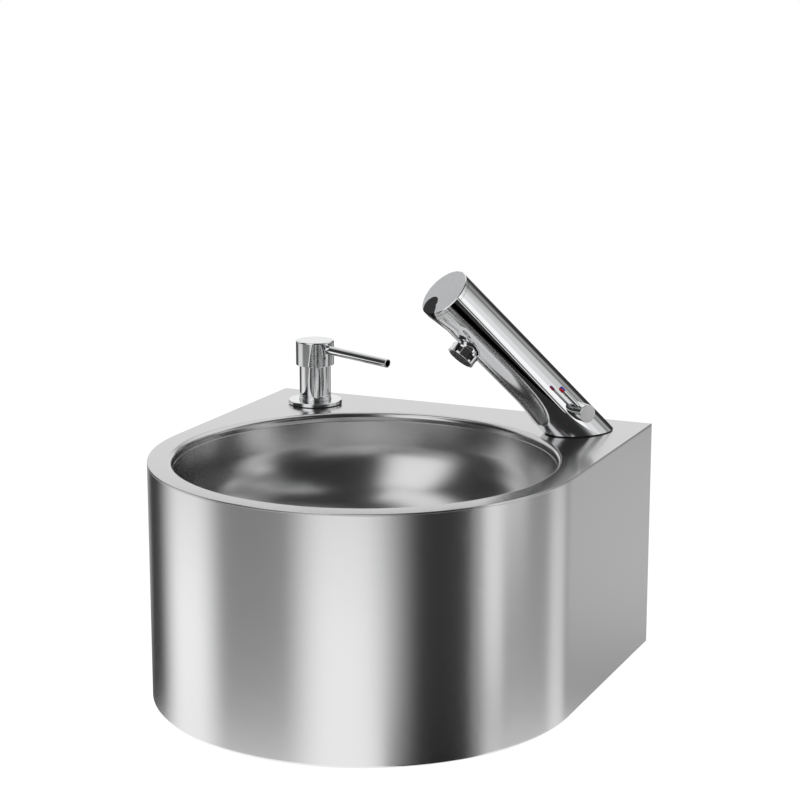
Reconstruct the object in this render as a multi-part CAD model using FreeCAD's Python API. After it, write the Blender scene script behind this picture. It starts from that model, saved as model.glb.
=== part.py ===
"""Wall-hung stainless steel hand wash basin with a sensor tap and a soap pump.

Units are millimetres. The origin is the centre of the four wall bolts, on the wall plane.
+X points right as seen from the front, +Y into the wall, +Z up. The user stands at -Y.
"""
import FreeCAD, Part
import math
import os
from FreeCAD import Placement, Rotation, Vector

# ---------------------------------------------------------------- basin shell
SHEET = 1.5              # steel sheet of the deck, apron and bowl
BOWL_R = 180.0           # inside radius of the round opening
BOWL_TO_WALL = 237.0     # bowl centre to the wall plane
RIM_LAND = 25.0          # apron's front arc is this much larger than the opening
ARC_SETBACK = 3.0        # the front arc's centre lies behind the bowl's centre
APRON_H = 230.0          # deck surface to the apron's lower edge
APRON_RETURN = 14.0      # width of the flange turned in along the lower edge
LIP_R = 5.0              # outside radius of the rolled lip round the opening
LIP_DROP = 8.5           # deck surface to the seam between lip and bowl
BOWL_WALL_DROP = 98.0    # deck surface to the corner of wall and floor
BOWL_TAPER = 5.0         # how far the bowl's wall leans in above that corner
BOWL_CORNER_R = 80.0     # corner between the bowl's wall and floor
BOWL_DEPTH = 121.5       # deck surface to the seat of the strainer
DRAIN_SEAT_R = 37.0      # outer radius of the sunk seat round the drain
DRAIN_SEAT_H = 4.0       # how deep the seat is sunk in the bowl's floor
DRAIN_HOLE_R = 21.5      # hole through the bowl's floor
DECK_Z = 110.0           # deck surface above the wall bolts' centre
WALL_BOLT_X = 320.0      # spacing of the wall bolts across
WALL_BOLT_Z = 100.0      # spacing of the wall bolts up and down
WALL_BOLT_HOLE_R = 4.5   # clearance hole for an 8 mm bolt
SERVICE_HALF_X = 115.0   # half width of the service opening in the back plate
SERVICE_LOW = 20.0       # strip of back plate left below the service opening
SERVICE_HIGH = 85.0      # strip of back plate left above the service opening
SERVICE_CORNER_R = 12.0  # corners of the service opening
STRIP_W = 40.0           # width of the stiffening strips behind the wall bolts
STRIP_T = 3.0            # thickness of those strips
STRIP_END = 30.0         # strip beyond each bolt hole

# ---------------------------------------------------------------- waste and trap
PIPE_R = 16.0            # outside radius of the waste pipes
PIPE_WALL = 1.6
SOCKET_R = 20.0          # outside radius of the threaded sockets
SOCKET_L = 16.0          # length of a socket
PIPE_FIT = 0.3           # radial room for a pipe in its socket
STRAINER_R = 32.0        # strainer plate
STRAINER_T = 2.0
STRAINER_HOLE_R = 2.6    # drain holes of the strainer
STRAINER_SCREW_R = 3.0
STRAINER_SCREW_FIT = 0.2
SCREW_HEAD_H = 1.6
SCREW_HEAD_ROUND = 0.6
SCREW_SLOT_W = 1.2
WASTE_GASKET_T = 1.5     # gasket under the strainer plate
LOWER_GASKET_T = 3.0     # gasket under the bowl's floor
POT_R = 27.0             # waste pot below the drain
POT_WALL = 3.0
POT_FLANGE_R = 34.0
POT_FLANGE_T = 3.5
BRIDGE_DROP = 14.0       # underside of the screw's bridge below the pot's top
BRIDGE_SINK = 2.0        # top of the bridge's boss below the pot's top
BRIDGE_RIB_T = 3.0
PIPE_CLEAR = 0.5         # slip nuts below the pot's flange
TRAP_TO_WALL = 85.0      # trap's centre line to the wall plane
TRAP_R = 28.0
TRAP_WALL = 2.5
TRAP_TOP_RISE = 20.0     # trap head above the pipe's centre line
TRAP_HEAD_DROP = 26.0    # trap head below the pipe's centre line
TRAP_CUP_DROP = 68.0     # lower end of the cup below the pipe's centre line
CUP_WALL = 2.0
CUP_GRIP = 4.0           # the cup's collar stands out this far round the head
CUP_ROUND = 6.0
CUP_FLUTES = 24          # hollows round the collar
CUP_FLUTE_R = 1.6
BAFFLE_T = 2.5           # dividing wall in the trap
BAFFLE_GAP = 12.0        # water passes under the dividing wall here
NUT_R = 25.0             # slip nuts, over the ribs
NUT_L = 17.0
NUT_LIP = 2.5            # closed end of a slip nut, over its seal
NUT_RIBS = 12
NUT_RIB_H = 1.5
SEAL_L = 4.0
SEAL_FIT = 0.2
WALL_TUBE_END = 4.0      # the outlet tube ends this far in front of the wall
WALL_TUBE_FREE = 28.0    # free end of the outlet tube, behind its stop bead
WALL_BEAD_H = 1.2        # stop bead's height
BEAD_W = 1.5             # width of a stop bead

# ---------------------------------------------------------------- tap
TAP_TO_SIDE = 56.0       # tap's foot to the right side of the basin
TAP_TO_WALL = 58.5       # tap's foot to the wall plane
TAP_HEADING = 233.8      # direction that the tap leans towards, degrees from +X
TAP_RISE = 44.1          # angle of the tap's axis above the deck, degrees
TAP_R = 26.0
TAP_L = 217.0            # along the axis, deck to end face
TAP_WALL = 3.0
TAP_HOLE_R = 17.5        # hole in the deck
FOOT_GASKET_T = 1.0
FACET_D = 14.5           # axis to the two long edges of the shallow cut along the underside
FACET_CROWN = 8.4        # how far the cut surface bulges between its two edges
FACET_LOW = 80.0         # the cut runs straight from here, measured along the axis
FACET_RUNOUT_R = 220.0   # long round run-out at the cut's lower end
FACET_TO_END = 31.0      # straight part of the cut to the end face
FACET_SLOPE_L = 25.0     # length over which the cut runs out upwards
CHAMBER_TO_END = 25.0    # the dry chamber is fully round from here to the end face
CAVITY_LOW = 72.0        # dry chamber for the valve, battery and sensor starts here
CAP_T = 4.0              # end cap
CAP_PLUG = 6.0           # spigot of the end cap inside the body
CAP_CHAMFER = 0.6
CAP_SPIGOT_T = 2.0
CAP_SPIGOT_FIT = 0.05
WINDOW_R = 11.0          # round head of the sensor window on the end face
WINDOW_OFF = 18.5        # its centre below the tap's axis
WINDOW_TAIL_W = 10.0     # width of the window's tail near its tip
WINDOW_TAIL_GAP = 0.8    # the tail's tip to the step of the dry chamber
LEVER_ALONG = 31.0       # lever axis along the tap's axis
LEVER_OFF = 7.2          # lever axis above the tap's axis
HUB_R = 8.8
HUB_OUT = 39.0           # hub's end face from the tap's axis
HUB_RUN = 0.08           # running clearance of the hub in the body
CARTRIDGE_IN = 12.0      # half length of the mixing cartridge
SPINDLE_R = 3.0
SPINDLE_OUT = 34.0       # the spindle's end inside the hub
LEVER_ROD_R = 1.9
LEVER_ROD_OUT = 33.0     # rod's distance from the tap's axis
LEVER_REACH = 39.0       # hub axis to the rod's tip
MARK_R = 2.4             # coloured tip
MARK_L = 4.5
TAIL_R = 5.0             # copper supply tails
TAIL_WALL = 1.0
TAIL_HALF_GAP = 8.0      # tails left and right of the foot's centre
TAIL_FRONT = 5.0         # tails in front of the foot's centre
HOT_TAIL_DROP = 170.0    # lower end below the deck
COLD_TAIL_DROP = 130.0
TAIL_SOCKET = 12.0       # tail inside the tap's foot
TAIL_FREE = 30.0         # free end of a tail, below its stop bead
TAIL_BEAD_H = 0.8
STUD_R = 4.0
STUD_BACK = 9.5          # stud behind the foot's centre
STUD_DROP = 62.0
STUD_GRIP = 10.0         # stud inside the tap's foot
CLAMP_R = 26.0
CLAMP_RUBBER_T = 3.0
CLAMP_PLATE_T = 3.0
STUD_NUT_W = 13.0        # across flats
STUD_NUT_H = 22.0
OUTLET_TO_END = 58.0     # aerator's axis to the end face
NECK_R = 10.5
NECK_BORE_R = 6.5
NECK_END = 30.0          # neck's end from the tap's axis
AERATOR_R = 14.0
AERATOR_TOP = 24.5       # ring starts here, from the tap's axis
AERATOR_END = 34.0       # ring ends here
AERATOR_SLEEVE = 1.4     # wall of the black insert
AERATOR_SLOTS = 6
AERATOR_SLOT_W = 6.4
AERATOR_ROOF_T = 0.8     # roof of the ring, over the insert
AERATOR_ROUND = 0.5
INSERT_PROUD = 0.4       # insert stands out of the ring
SPRAY_HOLE_R = 0.9
SPRAY_RING_R = 3.4       # inner ring of spray holes; the outer one is twice as wide
VALVE_HALF_W = 13.0
VALVE_H = 12.0
VALVE_CHAMBER_R = 7.0
VALVE_CHANNEL_R = 2.0
VALVE_OFF = 5.0          # valve's axis above the tap's axis
COIL_CLEAR = 0.4         # coil above the mixed water pipe
COIL_H = 18.0
COIL_ROOF_T = 4.0        # closed end of the coil's core tube
PLUNGER_R = 4.5
PLUNGER_RUN = 0.1
PLUNGER_TRAVEL = 2.0
PLUNGER_GAP = 0.3        # plunger to its seat, and to the core tube's end when lifted
PLUNGER_LIP = 1.5        # plunger's head stands out round its stem
PLUNGER_HEAD_H = 2.2
SPRING_WELL = 7.0        # depth of the spring's well in the plunger
SPRING_WELL_FIT = 0.1
PLUNGER_SPRING_T = 0.6
BATTERY_W = 34.8
BATTERY_H = 36.0
BATTERY_D = 19.5
BATTERY_LOW = 112.0      # along the axis
BATTERY_OFF = 4.75       # battery's middle above the tap's axis
BATTERY_ROUND = 2.0
CRADLE_RIM = 4.0
CRADLE_FIT = 0.1
MIXED_PIPE_R = 3.0
MIXED_PIPE_WALL = 0.8
MIXED_PIPE_OFF = 8.4     # mixed water pipe below the tap's axis
PIPE_SLEEVE_L = 6.0      # sleeve of the mixed water pipe in the neck
PIPE_SLEEVE_IN = 2.0     # the sleeve's end is this far inside the neck
MODULE_HALF = 11.0       # half width of the sensor block
MODULE_L = 20.0
MODULE_FIT = 0.3
BOARD_HALF = 15.0        # half width of the control board
BOARD_T = 1.6

# ---------------------------------------------------------------- soap pump
PUMP_TO_SIDE = 61.0      # pump to the left side of the basin
PUMP_TO_WALL = 51.0
FLANGE_R = 28.0
FLANGE_T = 3.5
COLLAR_R = 16.9
COLLAR_TOP = 8.0
COLUMN_R = 16.25
COLUMN_TOP = 41.6
COLUMN_WALL = 3.25
SHANK_R = 12.0
SHANK_WALL = 2.4
SHANK_DROP = 45.0
PUMP_HOLE_FIT = 0.5      # room for the shank in the deck
HEAD_R = 19.8
HEAD_LOW = 41.0
HEAD_TOP = 66.5
HEAD_ROUND = 1.5
HEAD_FIT = 0.35          # radial room between head and column
PRESS = 9.0              # travel of the pump head
SPOUT_R = 4.5
SPOUT_WALL = 1.0
SPOUT_REACH = 102.0      # spout's end from the pump's axis
SPOUT_Z = 59.0           # spout's axis at the head, above the deck
SPOUT_FALL = 2.0         # spout's slope down to its end, degrees
SPOUT_HEADING = -18.0    # degrees from +X
STEM_R = 4.0
STEM_BORE_R = 1.6
STEM_RUN = 0.06          # running clearance of the stem in the head and the bush
STEM_LOW = -30.0
SPRING_R = 7.2           # centre line of the return spring
SPRING_WIRE_R = 0.7
SPRING_TURNS = 5
SPRING_TOP = 31.0
PISTON_R = 7.92
PISTON_H = 10.0
CYLINDER_R = 9.4
CYLINDER_BORE_R = 8.0
CYLINDER_LOW = -60.0
NIPPLE_L = 8.0           # nipple that carries the dip tube
NIPPLE_BORE_R = 2.0
DIP_R = 4.5
DIP_LOW = -190.0
PUMP_WASHER_T = 2.5
PUMP_NUT_H = 10.0
PUMP_NUT_W = 38.0
BOTTLE_R = 38.0
BOTTLE_WALL = 1.5
BOTTLE_LOW = -202.0
BOTTLE_NECK_TOP = -18.0
BOTTLE_SHOULDER = -66.0

# ---------------------------------------------------------------- derived values
FRONT_R = BOWL_R + RIM_LAND
TAP_X = FRONT_R - TAP_TO_SIDE
PUMP_X = PUMP_TO_SIDE - FRONT_R
ARC_Y = -BOWL_TO_WALL + ARC_SETBACK
BASE_Z = DECK_Z - APRON_H
FACET_HIGH = TAP_L - FACET_TO_END
FACET_HALF = math.sqrt(TAP_R ** 2 - FACET_D ** 2)
CROWN_R = (FACET_HALF ** 2 + FACET_CROWN ** 2) / (2 * FACET_CROWN)
CROWN_LOW = FACET_D + FACET_CROWN
CHAMBER_STEP = TAP_L - CHAMBER_TO_END
OUTLET_ALONG = TAP_L - OUTLET_TO_END
CAVITY_R = TAP_R - TAP_WALL
CAVITY_FLOOR = FACET_D - TAP_WALL
PIPE_DROP = BOWL_DEPTH + SHEET + LOWER_GASKET_T + POT_FLANGE_T + NUT_R + PIPE_CLEAR
PIPE_Z = DECK_Z - PIPE_DROP
TRAP_Y = -TRAP_TO_WALL
CAP_BACK = TAP_L - CAP_T
VALVE_TOP = CAVITY_LOW + VALVE_H
VALVE_SEAT = CAVITY_LOW + VALVE_H / 3
VALVE_ACROSS = (VALVE_SEAT + VALVE_TOP) / 2
COIL_TOP = VALVE_TOP + COIL_H
CORE_TOP = COIL_TOP - COIL_ROOF_T
PLUNGER_TOP = CORE_TOP - PLUNGER_TRAVEL - PLUNGER_GAP
COIL_R = VALVE_OFF + MIXED_PIPE_OFF - MIXED_PIPE_R - COIL_CLEAR
INSERT_R = NECK_R + AERATOR_SLEEVE
STEM_TOP = COLUMN_TOP + PRESS + 2.5

X_AXIS = Vector(1, 0, 0)
Y_AXIS = Vector(0, 1, 0)
Z_AXIS = Vector(0, 0, 1)

# local frames: the bowl's and the pump's stand on the deck, the tap's runs along its axis
HERE = Placement()
AT_BOWL = Placement(Vector(0, -BOWL_TO_WALL, DECK_Z), Rotation())
AT_FOOT = Placement(Vector(TAP_X, -TAP_TO_WALL, DECK_Z), Rotation(Z_AXIS, TAP_HEADING + 90))
AT_TAP = AT_FOOT.multiply(Placement(Vector(), Rotation(X_AXIS, 90 - TAP_RISE)))
AT_PUMP = Placement(Vector(PUMP_X, -PUMP_TO_WALL, DECK_Z), Rotation())
AT_HEAD = AT_PUMP.multiply(Placement(Vector(), Rotation(Z_AXIS, SPOUT_HEADING)))


# ---------------------------------------------------------------- building helpers
def rod(radius, z0, z1, x=0.0, y=0.0):
    """Upright cylinder from z0 to z1."""
    return Part.makeCylinder(radius, z1 - z0, Vector(x, y, z0))


def tube(outer, inner, z0, z1, x=0.0, y=0.0):
    """Upright tube from z0 to z1."""
    return rod(outer, z0, z1, x, y).cut(rod(inner, z0 - 1, z1 + 1, x, y))


def bar(radius, start, end):
    """Cylinder between two points."""
    along = end.sub(start)
    return Part.makeCylinder(radius, along.Length, start, along)


def pipe(outer, inner, start, end):
    """Tube between two points."""
    step = end.sub(start).normalize()
    return bar(outer, start, end).cut(bar(inner, start.sub(step), end.add(step)))


def block(x0, x1, y0, y1, z0, z1):
    """Box between two corners."""
    return Part.makeBox(x1 - x0, y1 - y0, z1 - z0, Vector(x0, y0, z0))


def hexagon(across_flats, z0, z1):
    """Upright hexagonal prism."""
    corner = across_flats / 2 / math.cos(math.pi / 6)
    points = [Vector(corner * math.cos(i * math.pi / 3), corner * math.sin(i * math.pi / 3), z0)
              for i in range(7)]
    return Part.Face(Part.makePolygon(points)).extrude(Vector(0, 0, z1 - z0))


def moved(shape, placement):
    """Copy of a shape, carried by a placement."""
    copy = shape.copy()
    copy.Placement = placement.multiply(copy.Placement)
    return copy


def shifted(shape, x=0.0, y=0.0, z=0.0):
    """Copy of a shape, shifted."""
    return moved(shape, Placement(Vector(x, y, z), Rotation()))


def around(count, shape, centre=Vector(), axis=Z_AXIS):
    """Copies of a shape, spread evenly round an axis."""
    copies = []
    for i in range(count):
        copy = shape.copy()
        copy.rotate(centre, axis, 360.0 * i / count)
        copies.append(copy)
    return copies


def fused(first, *others):
    """One solid out of several that touch."""
    return first.multiFuse(list(others)).removeSplitter()


def rounded_path(points, radii):
    """Edges along (r, z) points, each inner point rounded by its radius (0 keeps it sharp)."""
    edges = []
    start = points[0]
    for before, corner, after, radius in zip(points, points[1:], points[2:], radii):
        if radius <= 0:
            edges.append(Part.makeLine(start, corner))
            start = corner
            continue
        back = before.sub(corner).normalize()
        ahead = after.sub(corner).normalize()
        half = math.acos(max(-1.0, min(1.0, back.dot(ahead)))) / 2
        reach = radius / math.tan(half)
        arc_in = corner + back * reach
        arc_out = corner + ahead * reach
        centre = corner + (back + ahead).normalize() * (radius / math.sin(half))
        middle = centre + (corner - centre).normalize() * radius
        edges.append(Part.makeLine(start, arc_in))
        edges.append(Part.Arc(arc_in, middle, arc_out).toShape())
        start = arc_out
    edges.append(Part.makeLine(start, points[-1]))
    return edges


def offset_points(points, distance):
    """The same (r, z) path, shifted to its left by a distance."""
    shifted_lines = []
    for a, b in zip(points, points[1:]):
        run = b.sub(a).normalize()
        side = Vector(-run.z, 0, run.x) * distance
        shifted_lines.append((a + side, b + side))
    result = [shifted_lines[0][0]]
    for (a, b), (c, d) in zip(shifted_lines, shifted_lines[1:]):
        run, other = b.sub(a), d.sub(c)
        cross = run.x * other.z - run.z * other.x
        share = ((c.x - a.x) * other.z - (c.z - a.z) * other.x) / cross
        result.append(a + run * share)
    result.append(shifted_lines[-1][1])
    return result


def turned_sheet(points, radii, sheet):
    """Sheet of even thickness turned about Z; the path is its inner face, read inwards."""
    inner = rounded_path(points, radii)
    outer_points = offset_points(points, sheet)
    outer_radii = []
    for before, corner, after, radius in zip(points, points[1:], points[2:], radii):
        run, other = corner.sub(before), after.sub(corner)
        left_turn = run.x * other.z - run.z * other.x > 0
        change = -sheet if left_turn else sheet
        outer_radii.append(max(radius + change, 0.0) if radius > 0 else 0.0)
    outer = rounded_path(outer_points, outer_radii)
    caps = [Part.makeLine(points[0], outer_points[0]), Part.makeLine(points[-1], outer_points[-1])]
    wire = Part.Wire(Part.__sortEdges__(inner + outer + caps))
    return Part.Face(wire).revolve(Vector(), Z_AXIS, 360)


def turned(points):
    """Solid turned about Z from a closed list of (r, z) points."""
    loop = [Vector(r, 0, z) for r, z in points]
    return Part.Face(Part.makePolygon(loop + loop[:1])).revolve(Vector(), Z_AXIS, 360)


def seen_from_above(inset, z0, z1):
    """Solid with the basin's outline, drawn in by an inset: front arc, straight sides, flat back."""
    r = FRONT_R - inset
    corner_l, corner_r = Vector(-r, 0, z0), Vector(r, 0, z0)
    side_l, side_r = Vector(-r, ARC_Y, z0), Vector(r, ARC_Y, z0)
    edges = [Part.makeLine(corner_r, corner_l), Part.makeLine(corner_l, side_l),
             Part.Arc(side_l, Vector(0, ARC_Y - r, z0), side_r).toShape(),
             Part.makeLine(side_r, corner_r)]
    return Part.Face(Part.Wire(edges)).extrude(Vector(0, 0, z1 - z0))


# ---------------------------------------------------------------- basin shell
def deck_plate():
    """Top sheet with the rolled lip round the bowl, the tap hole and the soap pump hole."""
    plate = seen_from_above(0, DECK_Z - SHEET, DECK_Z)
    opening = moved(rod(BOWL_R + LIP_R, -5 * SHEET, SHEET), AT_BOWL)
    tap_hole = moved(rod(TAP_HOLE_R, -5, 5), AT_FOOT)
    pump_hole = moved(rod(SHANK_R + PUMP_HOLE_FIT, -5, 5), AT_PUMP)
    flat = plate.cut(opening).cut(tap_hole).cut(pump_hole)
    return flat.fuse(moved(rolled_lip(), AT_BOWL)).removeSplitter()


def rolled_lip():
    """Quarter roll and short upright down to the seam, turned round the bowl's axis."""
    turn = Vector(BOWL_R + LIP_R, 0, -LIP_R)
    out = LIP_R
    inn = LIP_R - SHEET
    lean = math.sqrt(0.5)
    top_out, top_in = turn + Vector(0, 0, out), turn + Vector(0, 0, inn)
    side_out, side_in = turn + Vector(-out, 0, 0), turn + Vector(-inn, 0, 0)
    foot_out, foot_in = Vector(BOWL_R, 0, -LIP_DROP), Vector(BOWL_R + SHEET, 0, -LIP_DROP)
    edges = [Part.Arc(top_out, turn + Vector(-lean * out, 0, lean * out), side_out).toShape(),
             Part.makeLine(side_out, foot_out),
             Part.makeLine(foot_out, foot_in),
             Part.makeLine(foot_in, side_in),
             Part.Arc(side_in, turn + Vector(-lean * inn, 0, lean * inn), top_in).toShape(),
             Part.makeLine(top_in, top_out)]
    return Part.Face(Part.Wire(edges)).revolve(Vector(), Z_AXIS, 360)


def bowl():
    """Pressed round bowl, welded under the rolled lip, with a sunk seat for the strainer."""
    seat_top = -BOWL_DEPTH + DRAIN_SEAT_H
    path = [Vector(BOWL_R, 0, -LIP_DROP),
            Vector(BOWL_R - BOWL_TAPER, 0, -BOWL_WALL_DROP),
            Vector(DRAIN_SEAT_R + DRAIN_SEAT_H / 2, 0, seat_top),
            Vector(DRAIN_SEAT_R, 0, -BOWL_DEPTH),
            Vector(DRAIN_HOLE_R, 0, -BOWL_DEPTH)]
    return turned_sheet(path, [BOWL_CORNER_R, 2 * SHEET, 2 * SHEET], SHEET)


def apron():
    """Skirt bent round the front and both sides, with a flange turned in at the bottom."""
    top = DECK_Z - SHEET
    wall = seen_from_above(0, BASE_Z, top).cut(seen_from_above(SHEET, BASE_Z - 1, top + 1))
    flange = seen_from_above(0, BASE_Z, BASE_Z + SHEET)
    flange = flange.cut(seen_from_above(APRON_RETURN, BASE_Z - 1, BASE_Z + 2 * SHEET))
    flange = flange.cut(block(-FRONT_R, FRONT_R, -SHEET, SHEET, BASE_Z - 1, BASE_Z + 2 * SHEET))
    return wall.fuse(flange).removeSplitter()


def wall_bolt_holes(x):
    """Drills for the two wall bolts at one side."""
    drills = []
    for z in (-WALL_BOLT_Z / 2, WALL_BOLT_Z / 2):
        drills.append(bar(WALL_BOLT_HOLE_R, Vector(x, -4 * STRIP_T, z), Vector(x, STRIP_T, z)))
    return drills


def back_plate():
    """Back sheet against the wall, with a large service opening and four bolt holes."""
    half = FRONT_R - SHEET
    plate = block(-half, half, -SHEET, 0, BASE_Z, DECK_Z - SHEET)
    low = BASE_Z + SERVICE_LOW
    high = DECK_Z - SERVICE_HIGH
    window = block(-SERVICE_HALF_X, SERVICE_HALF_X, -2 * SHEET, SHEET, low, high)
    upright = [e for e in window.Edges
               if abs(e.tangentAt(e.FirstParameter).y) > 0.9]
    window = window.makeFillet(SERVICE_CORNER_R, upright)
    for x in (-WALL_BOLT_X / 2, WALL_BOLT_X / 2):
        for drill in wall_bolt_holes(x):
            plate = plate.cut(drill)
    return plate.cut(window)


def mounting_strips():
    """Two stiffening strips welded inside the back sheet, one behind each pair of bolts."""
    strips = []
    reach = WALL_BOLT_Z / 2 + STRIP_END
    for x in (-WALL_BOLT_X / 2, WALL_BOLT_X / 2):
        strip = block(x - STRIP_W / 2, x + STRIP_W / 2, -SHEET - STRIP_T, -SHEET, -reach, reach)
        for drill in wall_bolt_holes(x):
            strip = strip.cut(drill)
        strips.append(strip)
    return Part.makeCompound(strips)


# ---------------------------------------------------------------- waste and trap
STRAINER_LOW = -BOWL_DEPTH + WASTE_GASKET_T
POT_TOP = -BOWL_DEPTH - SHEET - LOWER_GASKET_T
POT_LOW = -PIPE_DROP - SOCKET_R
BRIDGE_LOW = POT_TOP - BRIDGE_DROP


def strainer_plate():
    """Round grid over the drain, held by one centre screw."""
    plate = rod(STRAINER_R, STRAINER_LOW, STRAINER_LOW + STRAINER_T)
    plate = plate.makeFillet(STRAINER_T / 3, [plate.Edges[0]])
    low, high = STRAINER_LOW - STRAINER_T, STRAINER_LOW + 2 * STRAINER_T
    drills = [rod(STRAINER_SCREW_R + STRAINER_SCREW_FIT, low, high)]
    for ring_r, count in ((DRAIN_HOLE_R * 0.44, 6), (DRAIN_HOLE_R * 0.76, 12)):
        hole = rod(STRAINER_HOLE_R, low, high, ring_r)
        drills.extend(around(count, hole))
    return plate.cut(Part.makeCompound(drills))


def strainer_screw():
    """Flat-headed screw that draws the strainer plate down to the pot's bridge."""
    seat = STRAINER_LOW + STRAINER_T
    head_r = 2.2 * STRAINER_SCREW_R
    head = rod(head_r, seat, seat + SCREW_HEAD_H)
    head = head.makeFillet(SCREW_HEAD_ROUND, [head.Edges[0]])
    half = SCREW_SLOT_W / 2
    slot = block(-half, half, -head_r - 1, head_r + 1, seat + SCREW_HEAD_H / 2, seat + 2 * SCREW_HEAD_H)
    shank = rod(STRAINER_SCREW_R, BRIDGE_LOW, seat)
    return fused(head.cut(slot), shank)


def upper_gasket():
    """Soft ring between the strainer plate and the seat in the bowl."""
    return tube(STRAINER_R, DRAIN_HOLE_R, -BOWL_DEPTH, STRAINER_LOW)


def lower_gasket():
    """Soft ring between the bowl's floor and the pot's flange."""
    return tube(POT_FLANGE_R, DRAIN_HOLE_R, POT_TOP, POT_TOP + LOWER_GASKET_T)


def waste_body():
    """Shallow pot under the drain with a bridge for the screw and an outlet to the rear."""
    inner = POT_R - POT_WALL
    pot = rod(POT_R, POT_LOW, POT_TOP)
    flange = rod(POT_FLANGE_R, POT_TOP - POT_FLANGE_T, POT_TOP)
    outlet_z = -PIPE_DROP
    socket = bar(SOCKET_R, Vector(0, 0, outlet_z), Vector(0, POT_R + SOCKET_L, outlet_z))
    solid = fused(pot, flange, socket)
    hollow = rod(inner, outlet_z - PIPE_R, POT_TOP + 1)
    bore = bar(PIPE_R - PIPE_WALL, Vector(0, 0, outlet_z), Vector(0, POT_R + SOCKET_L + 1, outlet_z))
    seat = bar(PIPE_R + PIPE_FIT, Vector(0, POT_R, outlet_z), Vector(0, POT_R + SOCKET_L + 1, outlet_z))
    pot_shell = solid.cut(hollow).cut(bore).cut(seat)
    boss = rod(2 * STRAINER_SCREW_R, BRIDGE_LOW, POT_TOP - BRIDGE_SINK)
    reach, half = inner + POT_WALL / 3, BRIDGE_RIB_T / 2
    ribs = block(-reach, reach, -half, half, BRIDGE_LOW, POT_TOP - 2 * BRIDGE_SINK)
    bridge = fused(boss, ribs).cut(rod(STRAINER_SCREW_R, BRIDGE_LOW - 1, POT_TOP))
    return pot_shell.fuse(bridge).removeSplitter()


POT_SOCKET_Y = -BOWL_TO_WALL + POT_R
TRAP_FRONT_Y = TRAP_Y - TRAP_R
TRAP_BACK_Y = TRAP_Y + TRAP_R


def waste_pipe():
    """Straight pipe from the pot to the trap, close under the bowl."""
    start = Vector(0, POT_SOCKET_Y, PIPE_Z)
    end = Vector(0, TRAP_FRONT_Y, PIPE_Z)
    return pipe(PIPE_R, PIPE_R - PIPE_WALL, start, end)


def wall_tube():
    """Outlet tube from the trap towards the wall, with a stop bead for the pipe that it enters."""
    start = Vector(0, TRAP_BACK_Y, PIPE_Z)
    end = Vector(0, -WALL_TUBE_END, PIPE_Z)
    bead_end = end - Vector(0, WALL_TUBE_FREE, 0)
    bead = pipe(PIPE_R + WALL_BEAD_H, PIPE_R - PIPE_WALL, bead_end - Vector(0, BEAD_W, 0), bead_end)
    return fused(pipe(PIPE_R, PIPE_R - PIPE_WALL, start, end), bead)


def trap_head():
    """Upper half of the bottle trap: closed top, two sockets and the dividing wall."""
    top = PIPE_Z + TRAP_TOP_RISE
    low = PIPE_Z - TRAP_HEAD_DROP
    inner = TRAP_R - TRAP_WALL
    barrel = rod(TRAP_R, low, top, 0, TRAP_Y)
    front = Vector(0, TRAP_FRONT_Y - SOCKET_L, PIPE_Z)
    back = Vector(0, TRAP_BACK_Y + SOCKET_L, PIPE_Z)
    hollow = rod(inner, low - 1, top - TRAP_WALL, 0, TRAP_Y)
    middle = Vector(0, TRAP_Y, PIPE_Z)
    reach = Vector(0, 1, 0)
    cuts = [hollow]
    for mouth, side in ((front, -1), (back, 1)):
        wall = Vector(0, TRAP_Y + side * TRAP_R, PIPE_Z)
        barrel = barrel.fuse(bar(SOCKET_R, middle, mouth))
        cuts.append(bar(PIPE_R - PIPE_WALL, middle, mouth + reach * side))
        cuts.append(bar(PIPE_R + PIPE_FIT, wall, mouth + reach * side))
    shell = barrel.cut(cuts[0]).cut(Part.makeCompound(cuts[1:]))
    wall_low = PIPE_Z - TRAP_CUP_DROP + CUP_WALL + BAFFLE_GAP
    divider = block(-TRAP_R, TRAP_R, TRAP_Y - BAFFLE_T / 2, TRAP_Y + BAFFLE_T / 2, wall_low, top)
    room = rod(inner, low, top, 0, TRAP_Y).fuse(rod(inner - CUP_WALL, wall_low, low, 0, TRAP_Y))
    return shell.fuse(divider.common(room)).removeSplitter()


def trap_cup():
    """Screw-off cup of the trap, with a grip collar round the head."""
    low = PIPE_Z - TRAP_CUP_DROP
    joint = PIPE_Z - TRAP_HEAD_DROP
    inner = TRAP_R - TRAP_WALL - CUP_WALL / 2
    collar_r = TRAP_R + CUP_GRIP
    cup = rod(inner + CUP_WALL, low, joint - SEAL_L, 0, TRAP_Y)
    cup = cup.makeFillet(CUP_ROUND, [e for e in cup.Edges if abs(e.BoundBox.ZMax - low) < 0.1])
    collar = rod(collar_r, joint - 2 * SEAL_L, joint + SEAL_L, 0, TRAP_Y)
    outer = fused(cup, collar)
    inside = rod(inner, low + CUP_WALL, joint, 0, TRAP_Y)
    seat = rod(TRAP_R, joint - SEAL_L, joint + SEAL_L + 1, 0, TRAP_Y)
    grip = rod(CUP_FLUTE_R, joint - 3 * SEAL_L, joint + 2 * SEAL_L, collar_r + CUP_FLUTE_R / 2, TRAP_Y)
    grips = around(CUP_FLUTES, grip, Vector(0, TRAP_Y, 0))
    return outer.cut(inside).cut(seat).cut(Part.makeCompound(grips))


def cup_seal():
    """Soft ring between the trap's head and its cup."""
    joint = PIPE_Z - TRAP_HEAD_DROP
    return tube(TRAP_R, TRAP_R - TRAP_WALL - CUP_WALL / 2, joint - SEAL_L, joint, 0, TRAP_Y)


def socket_places():
    """Mouth of each pipe socket and the way it points along Y."""
    return [(POT_SOCKET_Y + SOCKET_L, 1), (TRAP_FRONT_Y - SOCKET_L, -1), (TRAP_BACK_Y + SOCKET_L, 1)]


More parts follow.
